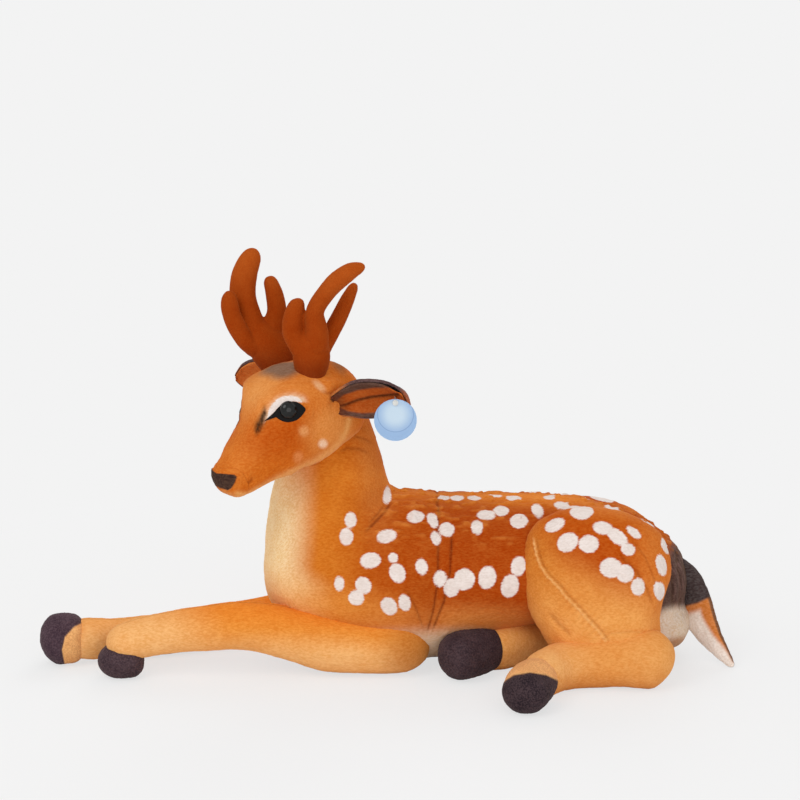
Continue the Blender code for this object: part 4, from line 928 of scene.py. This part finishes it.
def makeNose():
    # A cap on the muzzle's tip that reaches a share of the head's length back, and further at its sides
    # by |cos(angle)|; it stands proud where it is dark, and is flush where it has the coat's colour
    form, shape = headForm(), noseShape
    reach, angle = np.meshgrid(np.linspace(0.03, 1, 60), np.arange(144) * 2 * math.pi / 144, indexing="ij")
    back = (shape["reach"] + shape["wings"] * np.abs(np.cos(angle))) * reach**2
    front = letDown(formPoints(form, 1 - back, angle, shape["proud"]).reshape(-1, 3))
    behind = letDown(formPoints(form, 1 - back, angle, shape["under"]).reshape(-1, 3))
    u, v = sightOf(nearSide(front, headPlane))
    pad = smoothStep(insideDepth(u, v, headCoat["nose"]), -1.1, 0.9)
    out = front - behind
    out /= np.linalg.norm(out, axis=1)[:, None]
    front = (front + out * (shape["thick"] * pad)[:, None]).reshape(*reach.shape, 3)
    piece = cappedPiece("nosePatch", front, behind.reshape(*reach.shape, 3))
    colours = headColours(placesOf(piece.data), normalsOf(piece.data))[0]
    pad = pad.reshape(reach.shape)
    pad = np.concatenate((pad, pad[::-1])).ravel()
    colours = mixed(colours, shape["ink"], np.append(pad, (pad[0], pad[0])))
    ruffled(piece, (2.4, 0.2, 11))
    paint(piece, colours)
    dressed(piece, plainFinish, "head", "dark", "nose_patch")
    print("nose")


antlerShape = {
    "height": 0.128, "breadth": 0.04, "thickness": 0.028, "voxel": 1.1 * millimetre,
    "wall": 3.2 * millimetre, "ink": (158, 60, 2), "tipInk": (190, 92, 28), "footInk": (122, 42, 4),
    "left": {"foot": (0.25, 0.2, 0.28), "tines": (
        ((0.004, 0, -0.11, 0.22, 0.38), (0.002, -0.012, 0, 0.33, 0.46),
         (0, -0.02, 0.09, 0.43, 0.5), (0.008, -0.042, 0.233, 0.49, 0.5),
         (0.012, -0.067, 0.355, 0.38, 0.43), (0.035, -0.075, 0.42, 0.22, 0.29)),
        ((-0.017, -0.05, 0.183, 0.27, 0.34), (-0.096, -0.067, 0.317, 0.29, 0.35),
         (-0.14, -0.075, 0.42, 0.285, 0.35), (-0.132, -0.083, 0.54, 0.275, 0.35),
         (-0.104, -0.083, 0.63, 0.225, 0.28), (-0.066, -0.083, 0.685, 0.14, 0.19)),
        ((0.03, -0.067, 0.25, 0.37, 0.45), (0.052, -0.1, 0.425, 0.31, 0.42),
         (0.041, -0.133, 0.583, 0.245, 0.37), (0.127, -0.167, 0.742, 0.235, 0.35),
         (0.262, -0.195, 0.88, 0.25, 0.33), (0.342, -0.206, 0.936, 0.215, 0.29),
         (0.45, -0.217, 0.98, 0.12, 0.18)),
        ((0.067, -0.017, 0.2, 0.225, 0.32), (0.142, 0.017, 0.35, 0.225, 0.29),
         (0.222, 0.033, 0.5, 0.215, 0.29), (0.303, 0.042, 0.667, 0.185, 0.25),
         (0.366, 0.042, 0.8, 0.12, 0.18)))},
    "right": {"foot": (0.29, -0.34, 0.3), "tines": (
        ((0.03, 0, -0.11, 0.43, 0.5), (0.008, 0.017, 0.05, 0.49, 0.5),
         (-0.07, 0.033, 0.183, 0.53, 0.46), (-0.15, 0.05, 0.3, 0.45, 0.43),
         (-0.2, 0.058, 0.4, 0.25, 0.29)),
        ((-0.15, 0.02, 0.15, 0.24, 0.32), (-0.265, -0.015, 0.266, 0.255, 0.32),
         (-0.328, -0.045, 0.374, 0.255, 0.31), (-0.371, -0.06, 0.482, 0.245, 0.3),
         (-0.388, -0.06, 0.59, 0.23, 0.29), (-0.386, -0.06, 0.69, 0.15, 0.21)),
        ((-0.15, 0.05, 0.25, 0.38, 0.42), (-0.24, 0.083, 0.433, 0.36, 0.41),
         (-0.29, 0.108, 0.617, 0.35, 0.4), (-0.268, 0.133, 0.817, 0.34, 0.4),
         (-0.215, 0.145, 0.94, 0.27, 0.32), (-0.18, 0.15, 1.01, 0.17, 0.22)),
        ((-0.06, 0.067, 0.233, 0.36, 0.38), (-0.044, 0.1, 0.35, 0.31, 0.36),
         (-0.01, 0.117, 0.483, 0.265, 0.32), (-0.026, 0.133, 0.617, 0.24, 0.29),
         (-0.075, 0.142, 0.78, 0.17, 0.22)))},
}


def makeAntler(word):
    shape = antlerShape
    foot, tall = onHead(*shape[word]["foot"]), shape["height"]
    parts, stuffing = [], []
    for table in shape[word]["tines"]:
        rows = rowsOf(table, (tall, tall, tall, shape["thickness"], shape["breadth"]), foot, (0, 1, 2, 4, 3))
        form = formOf(rows, (shape["thickness"] * 0.3,) * 2, (1, 0, 0))
        parts.append(formGrid(form, 40, 48, 8)[:2])
        stuffing.append(formGrid(form, 24, 32, 6, None, -shape["wall"])[:2])
    piece = joined(f"antler{word.title()}", parts, shape["voxel"], 6)
    inside = joined(f"antler{word.title()}Filling", stuffing, shape["voxel"] * 1.8, 3)
    dressed(inside, fillingFinish, f"antler_{word}", "filling", f"antler_{word}_filling")
    rise = (placesOf(piece.data)[:, 2] - foot[2]) / tall
    ruffled(piece, (14, 0.35, 21), (2.2, 0.1, 22))
    colours = np.tile(inkOf(shape["ink"]), (len(rise), 1))
    colours = mixed(colours, shape["tipInk"], 0.6 * smoothStep(rise, 0.5, 1.05))
    colours = mixed(colours, shape["footInk"], 0.8 * smoothStep(-rise, -0.28, -0.05))
    paint(piece, colours)
    dressed(piece, feltFinish, f"antler_{word}", "felt", f"antler_{word}_skin", fill=0.9)
    print("antler", word, len(piece.data.vertices), "points")


earShape = {
    "length": 0.088, "width": 0.046, "curl": math.radians(55), "cloth": 3 * millimetre,
    "lining": 2 * millimetre, "gap": 0.3 * millimetre,
    "outline": (0.5, 0.8, 0.98, 1, 0.94, 0.76, 0.42), "tipFrom": 0.93, "tipLong": 0.07,
    "backInk": (98, 72, 70), "backRootInk": (214, 124, 50), "backTipInk": (186, 92, 34),
    # The crease ink is painted shade in the lining's fold
    "creaseShadeInk": (70, 26, 10), "topInk": (88, 64, 62), "lowInk": (96, 70, 68), "tipInk": (190, 96, 36),
    "rootInk": (96, 36, 12),
    "topEdge": ((333, 404), (344, 395), (358, 390), (374, 387.5), (392, 387), (404, 390), (409, 395)),
    "fold": ((334, 407), (345, 404), (358, 399), (372, 396), (390, 394), (408, 393)),
    "lowEdge": ((334, 405), (348, 411), (362, 413), (380, 412), (396, 410)),
    "left": {"foot": (0.164, 0.442, 0.061), "way": (0.9, -0.42, 0.13), "mouth": (-0.3, -0.85, -0.42),
             "ink": (188, 92, 34)},
    "right": {"foot": (0.168, -0.354, 0.091), "way": (-0.68, 0.74, 0.01), "mouth": (-0.8, -0.55, -0.2),
              "ink": (210, 120, 58)},
}


def leafGrid(word, innerGap, outerGap, reach, rings=90, sides=60):
    # A leaf curled round its length: half its width over the sine of the curl is the radius, and each
    # row goes along the inner face and back along the outer one
    shape, ear = earShape, earShape[word]
    way = unit(ear["way"])
    mouth = np.array(ear["mouth"]) - (np.array(ear["mouth"]) @ way) * way
    mouth = unit(mouth)
    across = np.cross(way, mouth)
    shares = np.linspace(0, 1, rings)
    outline = np.array(shape["outline"])
    rows = np.stack((np.linspace(0, 1, len(outline)), outline * 0, outline * 0, outline), axis=1)
    half = readRows(rows, shares)[:, 3] * shape["width"] / 2 * reach
    tip = np.maximum(shares - shape["tipFrom"], 0) ** 2 / shape["tipLong"] ** 2
    half *= np.sqrt(np.clip(1 - tip * 0.9, 0, 1))
    turns = np.linspace(-1, 1, sides) * shape["curl"] * reach
    foot = onHead(*ear["foot"])
    layers = []
    for gap in (innerGap, outerGap):
        radius = half[:, None] / math.sin(shape["curl"]) + gap
        middle = foot + (shares[:, None] * shape["length"] * reach) * way
        middle = middle + mouth * (outline[0] * shape["width"] / 2 / math.sin(shape["curl"]))
        layers.append(middle[:, None] + (radius * np.sin(turns))[..., None] * across
                      - (radius * np.cos(turns))[..., None] * mouth)
    grid = np.concatenate((layers[0], layers[1][:, ::-1]), axis=1)
    return grid, shares, mouth


def outerInks(along):
    colours = np.tile(inkOf(earShape["backInk"]), (len(along), 1))
    colours = mixed(colours, earShape["backRootInk"], smoothStep(-along, -0.3, -0.08))
    return mixed(colours, earShape["backTipInk"], smoothStep(along, 0.9, 1.0))


def liningInks(word, along, u, v, fold):
    ear, colours = earShape, np.tile(inkOf(earShape[word]["ink"]), (len(along), 1))
    if word == "left":
        # Painted shade in the crease beside the raised fold
        crease = np.exp(-((fold - 0.8) / 1.6) ** 2) * smoothStep(-along, -1, -0.8)
        colours = mixed(colours, ear["creaseShadeInk"], 0.9 * crease)
        colours = mixed(colours, ear["topInk"], smoothStep(-beyondLine(u, v, ear["topEdge"]), -1, 1.5))
        colours = mixed(colours, ear["lowInk"], smoothStep(beyondLine(u, v, ear["lowEdge"]), -1, 1.5))
        colours = mixed(colours, ear["tipInk"], smoothStep(along, 0.88, 0.98))
    return mixed(colours, ear["rootInk"], 0.8 * smoothStep(-along, -0.2, 0))


def makeEar(word):
    shape = earShape
    for kind, gaps, reach in (("Outer", (0, shape["cloth"]), 1),
                              ("Lining", (-shape["lining"] - shape["gap"], -shape["gap"]), 0.98)):
        grid, shares, mouth = leafGrid(word, *gaps, reach)
        tips = grid[0].mean(axis=0), grid[-1].mean(axis=0)
        piece = ringPiece(f"ear{word.title()}{kind}", grid, tips)
        ruffled(piece, (9, 0.5, 31), (2.4, 0.2, 32))
        along = np.append(np.repeat(shares, grid.shape[1]), (0, 1))
        points, normals, u, v = surfaceOf(piece)
        if kind == "Outer":
            paint(piece, outerInks(along))
            dressed(piece, darkFinish, f"ear_{word}", "ear_back", f"ear_{word}_outer")
            continue
        fold = beyondLine(u, v, shape["fold"])
        if word == "left":
            lift = 2.2 * smoothStep(-fold, 0, 2.5) * smoothStep(fold, -14, -3) * smoothStep(along, 0.05, 0.3)
            lift *= smoothStep(-along, -1, -0.85) * millimetre
            setPlaces(piece.data, points + mouth * lift[:, None])
        paint(piece, liningInks(word, along, u, v, fold))
        dressed(piece, plainFinish, f"ear_{word}", "lining", f"ear_{word}_lining")
    print("ear", word)


# A limb's rows: places along, aside and up, and its half widths
legShape = {
    "names": ("frontLeg", "frontHoof"), "nodes": ("front_leg", "front_hoof"), "slot": "coat",
    "length": 0.36, "thickness": 0.066, "rings": 190, "ends": (0.45, 0.3), "seam": 1,
    "lumps": ((24, 0.8, 41), (8, 0.3, 42), (3.0, 0.26, 43)),
    "left": {"side": -1, "root": (0.0414, -0.060078, -0.0005), "leg": (
        (0, 0, 0.42, 0.4, 0.4), (0.083, 0, 0.485, 0.5, 0.485),
        (0.186, 0, 0.5, 0.545, 0.5), (0.297, 0.006, 0.545, 0.53, 0.5),
        (0.408, 0.017, 0.68, 0.455, 0.44), (0.528, 0.028, 0.833, 0.394, 0.394),
        (0.672, 0.033, 0.8, 0.364, 0.364), (0.783, 0.036, 0.727, 0.333, 0.333),
        (0.861, 0.039, 0.645, 0.318, 0.318), (0.917, 0.042, 0.565, 0.29, 0.29),
        (0.956, 0.044, 0.48, 0.22, 0.23)), "hoof": (
        (0.85, 0.039, 0.3, 0.27, 0.27), (0.889, 0.042, 0.29, 0.333, 0.29),
        (0.93, 0.044, 0.285, 0.345, 0.285), (0.985, 0.047, 0.275, 0.27, 0.235))},
    "right": {"side": 1, "root": (0.00506, 0.058032, -0.0005), "leg": (
        (0, 0, 0.42, 0.4, 0.4), (0.097, 0.006, 0.5, 0.515, 0.5),
        (0.222, -0.006, 0.485, 0.47, 0.47), (0.375, -0.05, 0.43, 0.4, 0.4),
        (0.542, -0.108, 0.39, 0.35, 0.36), (0.708, -0.17, 0.36, 0.33, 0.34),
        (0.847, -0.214, 0.37, 0.32, 0.326), (0.944, -0.239, 0.4, 0.318, 0.333),
        (1, -0.25, 0.41, 0.26, 0.27)), "hoof": (
        (0.94, -0.239, 0.424, 0.33, 0.36), (0.98, -0.246, 0.424, 0.394, 0.41),
        (1.019, -0.252, 0.424, 0.4, 0.424), (1.075, -0.258, 0.4, 0.33, 0.34))},
    "strokes": (
        ((300, 610, 130, 16, 3), (240, 140, 44), 0.8, 0.85),      # orange along the top
        ((150, 640, 50, 30, 0), (248, 194, 132), 0.8, 0.85),      # pale shin
        ((70, 650, 40, 30, 0), (248, 196, 136), 0.8, 0.85),
        ((330, 662, 120, 18, 4), (250, 196, 132), 0.8, 0.9),      # underside
        ((412, 650, 26, 26, 0), (194, 120, 52), 0.8, 0.75),
    ),
    "ground": (236, 152, 64),
}


def makeLimb(shape, word):
    # A front leg, with a seam along its top, or a hind shank, and the hoof at its end
    leg, thick, node = shape[word], shape["thickness"], f"{shape['nodes'][0]}_{word}"
    root, sizes = shift + leg["root"], (-shape["length"], leg["side"] * shape["length"], thick, thick, thick)
    rows, hoofRows = (rowsOf(leg[part], sizes, root) for part in ("leg", "hoof"))
    form = formOf(rows, tuple(thick * end for end in shape["ends"]), (0, 0, 1))
    piece, shares, angles = formPiece(f"{shape['names'][0]}{word.title()}", form, shape["rings"], 120, 10)
    points, normals, u, v = surfaceOf(piece)
    seam = np.exp(-(((angles - math.pi / 2) * 0.5 * thick / (1.6 * millimetre)) ** 2))
    seam *= smoothStep(shares, 0.1, 0.2) * shape["seam"]
    setPlaces(piece.data, points - normals * (seam * 0.7 * millimetre)[:, None])
    ruffled(piece, *shape["lumps"])
    settled(piece)
    # Painted shade darkens the pressed-in seam along the top
    paint(piece, airbrushed(u, v, shape["ground"], shape["strokes"]) * (1 - 0.25 * seam[:, None]))
    dressed(piece, plainFinish, node, shape["slot"], f"{node}_skin", fill=0.8)
    makeHoof(f"{shape['names'][1]}{word.title()}", hoofRows, thick, node, f"{shape['nodes'][1]}_{word}")


hoofEdgeInk = (255, 194, 122)
hoofInks = {"frontHoofLeft": (66, 54, 62), "frontHoofRight": (70, 56, 68), "hindHoofLeft": (44, 38, 46),
            "hindHoofRight": (58, 47, 54)}
hoofEdges = {
    "frontHoofRight": ((94, 612), (86, 621), (74, 627), (65, 637), (62, 650), (65, 666)),
    "hindHoofLeft": ((496, 690), (506, 680), (514, 675), (530, 672.5), (546, 675), (559, 681), (570, 688)),
}


def makeHoof(name, rows, thickness, body, cadNode):
    form = formOf(rows, (thickness * 0.2, thickness * 0.3), (0, 0, 1))
    piece = formPiece(name, form, 60, 90, 12)[0]
    ruffled(piece, (9, 0.5, 51), (1.9, 0.3, 52))
    settled(piece)
    points, normals, u, v = surfaceOf(piece)
    colours = np.tile(inkOf(hoofInks[name]), (len(points), 1))
    if name in hoofEdges:
        colours = mixed(colours, hoofEdgeInk, smoothStep(-beyondLine(u, v, hoofEdges[name]), -0.8, 0.8))
    paint(piece, colours)
    dressed(piece, hoofFinish, body, "hoof", cadNode, fill=0.85)


hindShape = {
    "voxel": 5 * millimetre, "under": {"left": -0.3 * millimetre, "right": 2.2 * millimetre},
    # The seam ink is a painted highlight on the raised seam
    "swell": 2.6 * millimetre, "held": 3, "seamHighlightInk": (255, 204, 138),
    "lumps": ((30, 1.0, 61), (10, 0.4, 62), (3.2, 0.28, 63)),
    "height": 0.184, "depth": 0.158, "thickness": 0.076, "drop": {"left": 0.0, "right": 0.16},
    "thigh": ((0, 0, 0, 0.26, 0.29), (-0.013, 0.132, 0.117, 0.4, 0.43),
              (-0.025, 0.237, 0.303, 0.474, 0.5), (-0.019, 0.276, 0.49, 0.5, 0.481),
              (0.025, 0.29, 0.676, 0.5, 0.405), (0.09, 0.29, 0.846, 0.46, 0.342),
              (0.115, 0.29, 1, 0.395, 0.291)),
    "hip": (0.22172, 0.060078, 0.1835),
    "ground": (196, 92, 10),
    "strokes": (
        ((600, 500, 70, 14, 8), (224, 134, 56), 0.8, 0.8),       # painted highlight along the top of the back
        ((585, 562, 48, 36, 20), (182, 72, 2), 0.8, 0.85),
        ((545, 590, 22, 70, -14), (214, 132, 52), 0.7, 0.9),      # band before the seam
        ((600, 628, 84, 38, 0), (242, 172, 96), 0.75, 0.95),      # pale lower part
        ((575, 585, 30, 22, 35), (236, 158, 76), 0.8, 0.6),
        ((660, 570, 20, 56, -10), (220, 130, 56), 0.8, 0.7),
    ),
    "seam": ((533, 534), (536, 553), (540, 565), (547, 576), (558, 587), (567, 598), (578, 609), (589, 621),
             (600, 633), (608, 644)),
    "creases": (
        (((617, 552), (636, 570), (648, 590), (654, 606)), 1.2, 2.4, 0.35),
        (((632, 540), (645, 556), (655, 580), (658, 600)), 0.7, 1.6, 0.3),
        (((604, 560), (620, 574), (634, 592)), 0.6, 1.6, 0.2),
        (((548, 612), (558, 625), (572, 638)), 1.6, 3.0, 0.3),
        (((606, 634), (632, 632), (658, 634)), 1.0, 2.2, 0.15),
    ),
}


def makeThigh(word):
    shape, side = hindShape, -1 if word == "left" else 1
    drop, thick, deep, tall = shape["drop"][word], shape["thickness"], shape["depth"], shape["height"]
    table = np.array(shape["thigh"])
    table[:, 2] = drop + (1 - drop) * table[:, 2]
    rows = rowsOf(table, (deep, side * thick, -tall, thick, deep),
                  shift + np.array(shape["hip"]) * (1, side, 1))
    form = formOf(rows, (tall * 0.14, tall * 0.1), (1, 0, 0))
    grid = formGrid(form, 60, 90, 12, grow=shape["under"][word])[:2]
    piece = joined(f"thigh{word.title()}", [grid], shape["voxel"], 2)
    points, normals, u, v = surfaceOf(piece, bodyPlane)
    stuffed(piece, lineDistance(u, v, shape["seam"])[0] < shape["held"], shape["swell"])
    points, normals, u, v = surfaceOf(piece, bodyPlane)
    depth, shade = creased(u, v, shape["creases"])
    # The seam stands up as a ridge with a dip beside it, and gathers the cloth
    gap, along, length = lineDistance(u, v, shape["seam"])
    ends = smoothStep(along, 0, 12) * smoothStep(length - along, -2, 8)
    ridge = np.exp(-((gap / 1.15) ** 2)) * ends
    gather = np.sin(along * 0.95 + 2 * napNoise(points, 14 * millimetre, 64)) * np.exp(-gap / 8) * ends
    beside = np.exp(-(((beyondLine(u, v, shape["seam"]) + 2.8) / 1.3) ** 2)) * ends
    lift = 0.8 * ridge - 0.5 * beside + 0.75 * gather - depth
    setPlaces(piece.data, points + normals * (lift * millimetre)[:, None])
    ruffled(piece, *shape["lumps"])
    settled(piece)
    # A painted highlight on the seam's ridge, and painted shade in the dip beside it and in the gathers'
    # valleys
    colours = mixed(airbrushed(u, v, shape["ground"], shape["strokes"]), shape["seamHighlightInk"], 0.65 * ridge)
    colours = shaded(colours, np.maximum(shade, np.maximum(0.35 * beside, -0.16 * gather)))
    near, facing = nearSide(placesOf(piece.data), bodyPlane, normalsOf(piece.data))
    paint(piece, colours, spot=spotDepth(near, near, facing, coatSpots))
    dressed(piece, coatFinish, "torso", "coat", f"thigh_{word}_skin", fill=0.8)
    print("thigh", word, len(piece.data.vertices), "points")


shankShape = {
    "names": ("hindShank", "hindHoof"), "nodes": ("hind_shank", "hind_hoof"), "slot": "coat_pale",
    "length": 0.205, "thickness": 0.06, "rings": 130, "ends": (0.45, 0.25), "seam": 0,
    "lumps": ((22, 0.8, 71), (8, 0.3, 72), (3.0, 0.26, 73)),
    "left": {"side": -1, "root": (0.299, -0.10602, -0.0005), "leg": (
        (0, 0, 0.45, 0.37, 0.37), (0.09, 0, 0.5, 0.48, 0.5),
        (0.27, 0, 0.495, 0.48, 0.495), (0.45, 0, 0.45, 0.44, 0.45),
        (0.59, 0.045, 0.41, 0.4, 0.41), (0.685, 0.15, 0.4, 0.39, 0.4),
        (0.735, 0.25, 0.39, 0.31, 0.32)), "hoof": (
        (0.7, 0.16, 0.39, 0.36, 0.36), (0.745, 0.26, 0.39, 0.42, 0.39),
        (0.78, 0.36, 0.375, 0.42, 0.375), (0.81, 0.48, 0.33, 0.34, 0.32))},
    "right": {"side": 1, "root": (0.25898, 0.05208, -0.0005), "leg": (
        (0, 0, 0.4, 0.3, 0.3), (0.107, -0.068, 0.4, 0.383, 0.4),
        (0.327, -0.215, 0.408, 0.392, 0.408), (0.546, -0.376, 0.408, 0.392, 0.408),
        (0.732, -0.517, 0.417, 0.392, 0.417), (0.8, -0.576, 0.417, 0.317, 0.333)), "hoof": (
        (0.722, -0.507, 0.43, 0.367, 0.383), (0.8, -0.576, 0.44, 0.417, 0.44),
        (0.878, -0.644, 0.44, 0.433, 0.44), (0.98, -0.732, 0.433, 0.4, 0.4))},
    "ground": (234, 160, 86),
    "strokes": (
        ((512, 642, 44, 22, 0), (255, 196, 118), 0.8, 0.9),       # painted light on the far shank, which lies in shadow
        ((545, 664, 34, 20, 0), (244, 188, 124), 0.8, 0.9),       # foot
        ((660, 665, 30, 26, 0), (236, 172, 104), 0.8, 0.6),
        ((600, 690, 90, 10, 0), (220, 150, 84), 0.8, 0.6),
    ),
}


tailShape = {
    "length": 0.116, "width": 0.04, "thickness": 0.026, "root": (0.3105, 0.0, 0.09435),
    "face": (0.35, 0.9, 0.1),
    "rows": ((-0.06, 0, 0.06, 0.4, 0.4), (0.08, 0.04, -0.06, 0.48, 0.48),
             (0.18, 0.11, -0.27, 0.5, 0.45), (0.27, 0.21, -0.47, 0.42, 0.35),
             (0.4, 0.33, -0.66, 0.25, 0.23), (0.52, 0.43, -0.8, 0.1, 0.12)),
    "dark": (64, 50, 50), "orange": (218, 130, 58), "white": (250, 238, 228), "rimInk": (96, 62, 40),
    "lobe": ((672, 618), (686, 606), (698, 603), (712, 596)),
    "rim": ((700, 586), (710, 597.6), (714, 612.8), (720.4, 632), (734, 660)),
}


def makeTail():
    shape = tailShape
    length = shape["length"]
    rows = rowsOf(shape["rows"], (length, -length, length, shape["width"], shape["thickness"]),
                  shift + shape["root"])
    form = formOf(rows, (length * 0.08,) * 2, shape["face"])
    for kind, sense, slot, finish in (("Top", 1, "dark", darkFinish),
                                      ("Underside", -1, "white", paleFinish)):
        piece = formPiece(f"tail{kind}", form, 100, 60, 10, (0, sense * math.pi))[0]
        points, normals, u, v = surfaceOf(piece)
        ruffled(piece, (7, 0.4, 81), (2.4, 0.3, 82))
        settled(piece)
        colours = np.tile(inkOf(shape[slot]), (len(points), 1))
        gap, along, whole = lineDistance(u, v, shape["rim"])
        beside = beyondLine(u, v, shape["lobe"])
        # The orange band narrows towards the tip
        reach = 16 - 11 * smoothStep(along / whole, 0.3, 1)
        band = np.maximum(smoothStep(reach - gap, 0, 6), smoothStep(-beside, -12, -4))
        colours = mixed(colours, shape["orange"], band)
        colours = mixed(colours, shape["rimInk"], 0.85 * smoothStep(-gap, -3.2, -1.2))
        colours = mixed(colours, shape["dark"], smoothStep(-beside, -1.5, 1.5))
        paint(piece, colours)
        dressed(piece, finish, "tail", slot, f"tail_{kind.lower()}", fill=0.7)
    print("tail")


def eyeMaterial():
    material, tree, shader, place = startMaterial("eyeGloss", {"Roughness": 0.09, "Specular IOR Level": 0.3})
    grain = noiseOf(tree, place, 3 * millimetre, 3.0)
    colour = blended(tree, rising(tree, grain, 0.3, 0.7), rgba((8, 9, 9)), rgba((20, 22, 20)))
    tree.links.new(colour, shader.inputs["Base Color"])
    return material


eyeFinish = eyeMaterial()
patchFinish = washed("eyeFelt", (11, 9, 9), {"Roughness": 0.8, "Specular IOR Level": 0.2}, 0.7 * millimetre,
                     0.35, 0.3 * millimetre)
fillingFinish = washed("fibreFilling", (236, 236, 232), {"Roughness": 0.95, "Sheen Weight": 0.3},
                       1.6 * millimetre, 0.06, 1.2 * millimetre, (1.0, 0.4, 1.0))
washerFinish = washed("washerPlastic", (222, 222, 220), {"Roughness": 0.42}, 0.9 * millimetre, 0.03,
                      0.05 * millimetre)
pinFinish = washed("nylonPin", (232, 232, 228), {"Roughness": 0.35, "Transmission Weight": 0.25},
                   1.0 * millimetre, 0.03, 0.03 * millimetre)


def cardMaterial():
    # Printed card, paler towards its middle, with one plain ring near its rim
    material, tree, shader, place = startMaterial("tagCard", {"Roughness": 0.42, "Coat Weight": 0.25})
    middle = tuple(meanOf("hang_tag"))
    apart = node(tree, "ShaderNodeVectorMath", {"operation": "SUBTRACT"}, at0=place, at1=middle).outputs[0]
    away = node(tree, "ShaderNodeVectorMath", {"operation": "LENGTH"}, at0=apart).outputs["Value"]
    grain = noiseOf(tree, place, 0.6 * millimetre, 4.0)
    away = maths(tree, "ADD", away, maths(tree, "MULTIPLY", grain, 0.3 * millimetre))
    colour = blended(tree, rising(tree, away, 6 * millimetre, 21 * millimetre), rgba((192, 212, 228)),
                     rgba((144, 176, 214)))
    ring = maths(tree, "MULTIPLY", rising(tree, away, 18.0 * millimetre, 18.4 * millimetre),
                 rising(tree, away, 18.8 * millimetre, 19.2 * millimetre, 1.0, 0.0))
    colour = blended(tree, maths(tree, "MULTIPLY", ring, 0.55), colour, rgba((98, 130, 178)))
    tree.links.new(colour, shader.inputs["Base Color"])
    bumped(tree, shader, grain, 0.3, 0.03 * millimetre)
    return material


cardFinish = cardMaterial()


def dressCadNodes():
    # The CAD pieces that stay
    finishes = {"filling": fillingFinish, "eye_washer": washerFinish, "tag_pin": pinFinish,
                "hang_tag": cardFinish}
    for name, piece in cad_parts.items():
        for key, material in finishes.items():
            if key in name:
                piece.data.materials.clear()
                piece.data.materials.append(material)
    print("carried-over pieces")


def makeCamera():
    lens = bpy.data.cameras.new("camera")
    lens.lens, lens.sensor_width = photo["lens"], photo["sensor"]
    camera = bpy.data.objects.new("camera", lens)
    camera.location = photo["place"]
    camera.rotation_euler = (math.pi / 2 - photo["tilt"], 0, 0)
    bpy.context.scene.collection.objects.link(camera)
    bpy.context.scene.camera = camera


def makeFloor():
    # A wide disc that takes the toy's shadow and fades into the backdrop's own colour
    radius, corners = studio["floorRadius"], studio["floorCorners"]
    angle = np.arange(corners) * 2 * math.pi / corners
    rim = np.stack((radius * np.cos(angle), radius * np.sin(angle), angle * 0), axis=1)
    floor = newPiece("floor", rim, [list(range(corners))])
    material, tree, shader, place = startMaterial("floorPaper", {"Roughness": 0.9, "Specular IOR Level": 0.1,
                                                                 "Base Color": rgba((246, 246, 246))})
    glow = node(tree, "ShaderNodeEmission", None, Color=rgba(studio["backdrop"]), Strength=1.0)
    away = node(tree, "ShaderNodeVectorMath", {"operation": "LENGTH"}, Vector=place).outputs["Value"]
    seen = node(tree, "ShaderNodeLightPath").outputs["Is Camera Ray"]
    share = maths(tree, "MULTIPLY", seen, rising(tree, away, studio["fadeFrom"], studio["fadeTo"],
                                                 studio["floorGlow"]))
    mix = node(tree, "ShaderNodeMixShader", None, Fac=share, at1=shader.outputs[0], at2=glow.outputs[0])
    tree.links.new(mix.outputs[0], tree.nodes["Material Output"].inputs["Surface"])
    floor.data.materials.append(material)


def makeLight():
    world = bpy.data.worlds.new("studio")
    world.use_nodes = True
    bpy.context.scene.world = world
    tree = world.node_tree
    path = node(tree, "ShaderNodeLightPath")
    seen = maths(tree, "MAXIMUM", path.outputs["Is Camera Ray"],
                 maths(tree, "MAXIMUM", path.outputs["Is Glossy Ray"], path.outputs["Is Transmission Ray"]))
    soft = node(tree, "ShaderNodeBackground", None, Color=(1.0, 1.0, 1.0, 1.0), Strength=studio["ambient"])
    back = node(tree, "ShaderNodeBackground", None, Color=rgba(studio["backdrop"]), Strength=1.0)
    mix = node(tree, "ShaderNodeMixShader", None, Fac=seen, at1=soft.outputs[0], at2=back.outputs[0])
    tree.links.new(mix.outputs[0], tree.nodes["World Output"].inputs["Surface"])
    for name, (place, size, power) in studio["lamps"].items():
        lamp = bpy.data.lights.new(name, "AREA")
        lamp.shape, lamp.size, lamp.energy = "DISK", size, power
        light = bpy.data.objects.new(name, lamp)
        light.location = place
        aim = np.array(studio["lampAim"]) - place
        tip = math.atan2(math.hypot(aim[0], aim[1]), -aim[2])
        light.rotation_euler = (tip, 0, math.atan2(aim[0], -aim[1]) + math.pi)
        bpy.context.scene.collection.objects.link(light)
    bpy.context.scene.view_settings.view_transform = "Standard"
    print("studio")


makeCamera()
makeFloor()
makeLight()
makeBodyCoat()
head = makeHead()
for word in ("left", "right"):
    makeEye(word, head)
    makeAntler(word)
    makeEar(word)
    makeLimb(legShape, word)
    makeThigh(word)
    makeLimb(shankShape, word)
makeNose()
makeTail()
dressCadNodes()
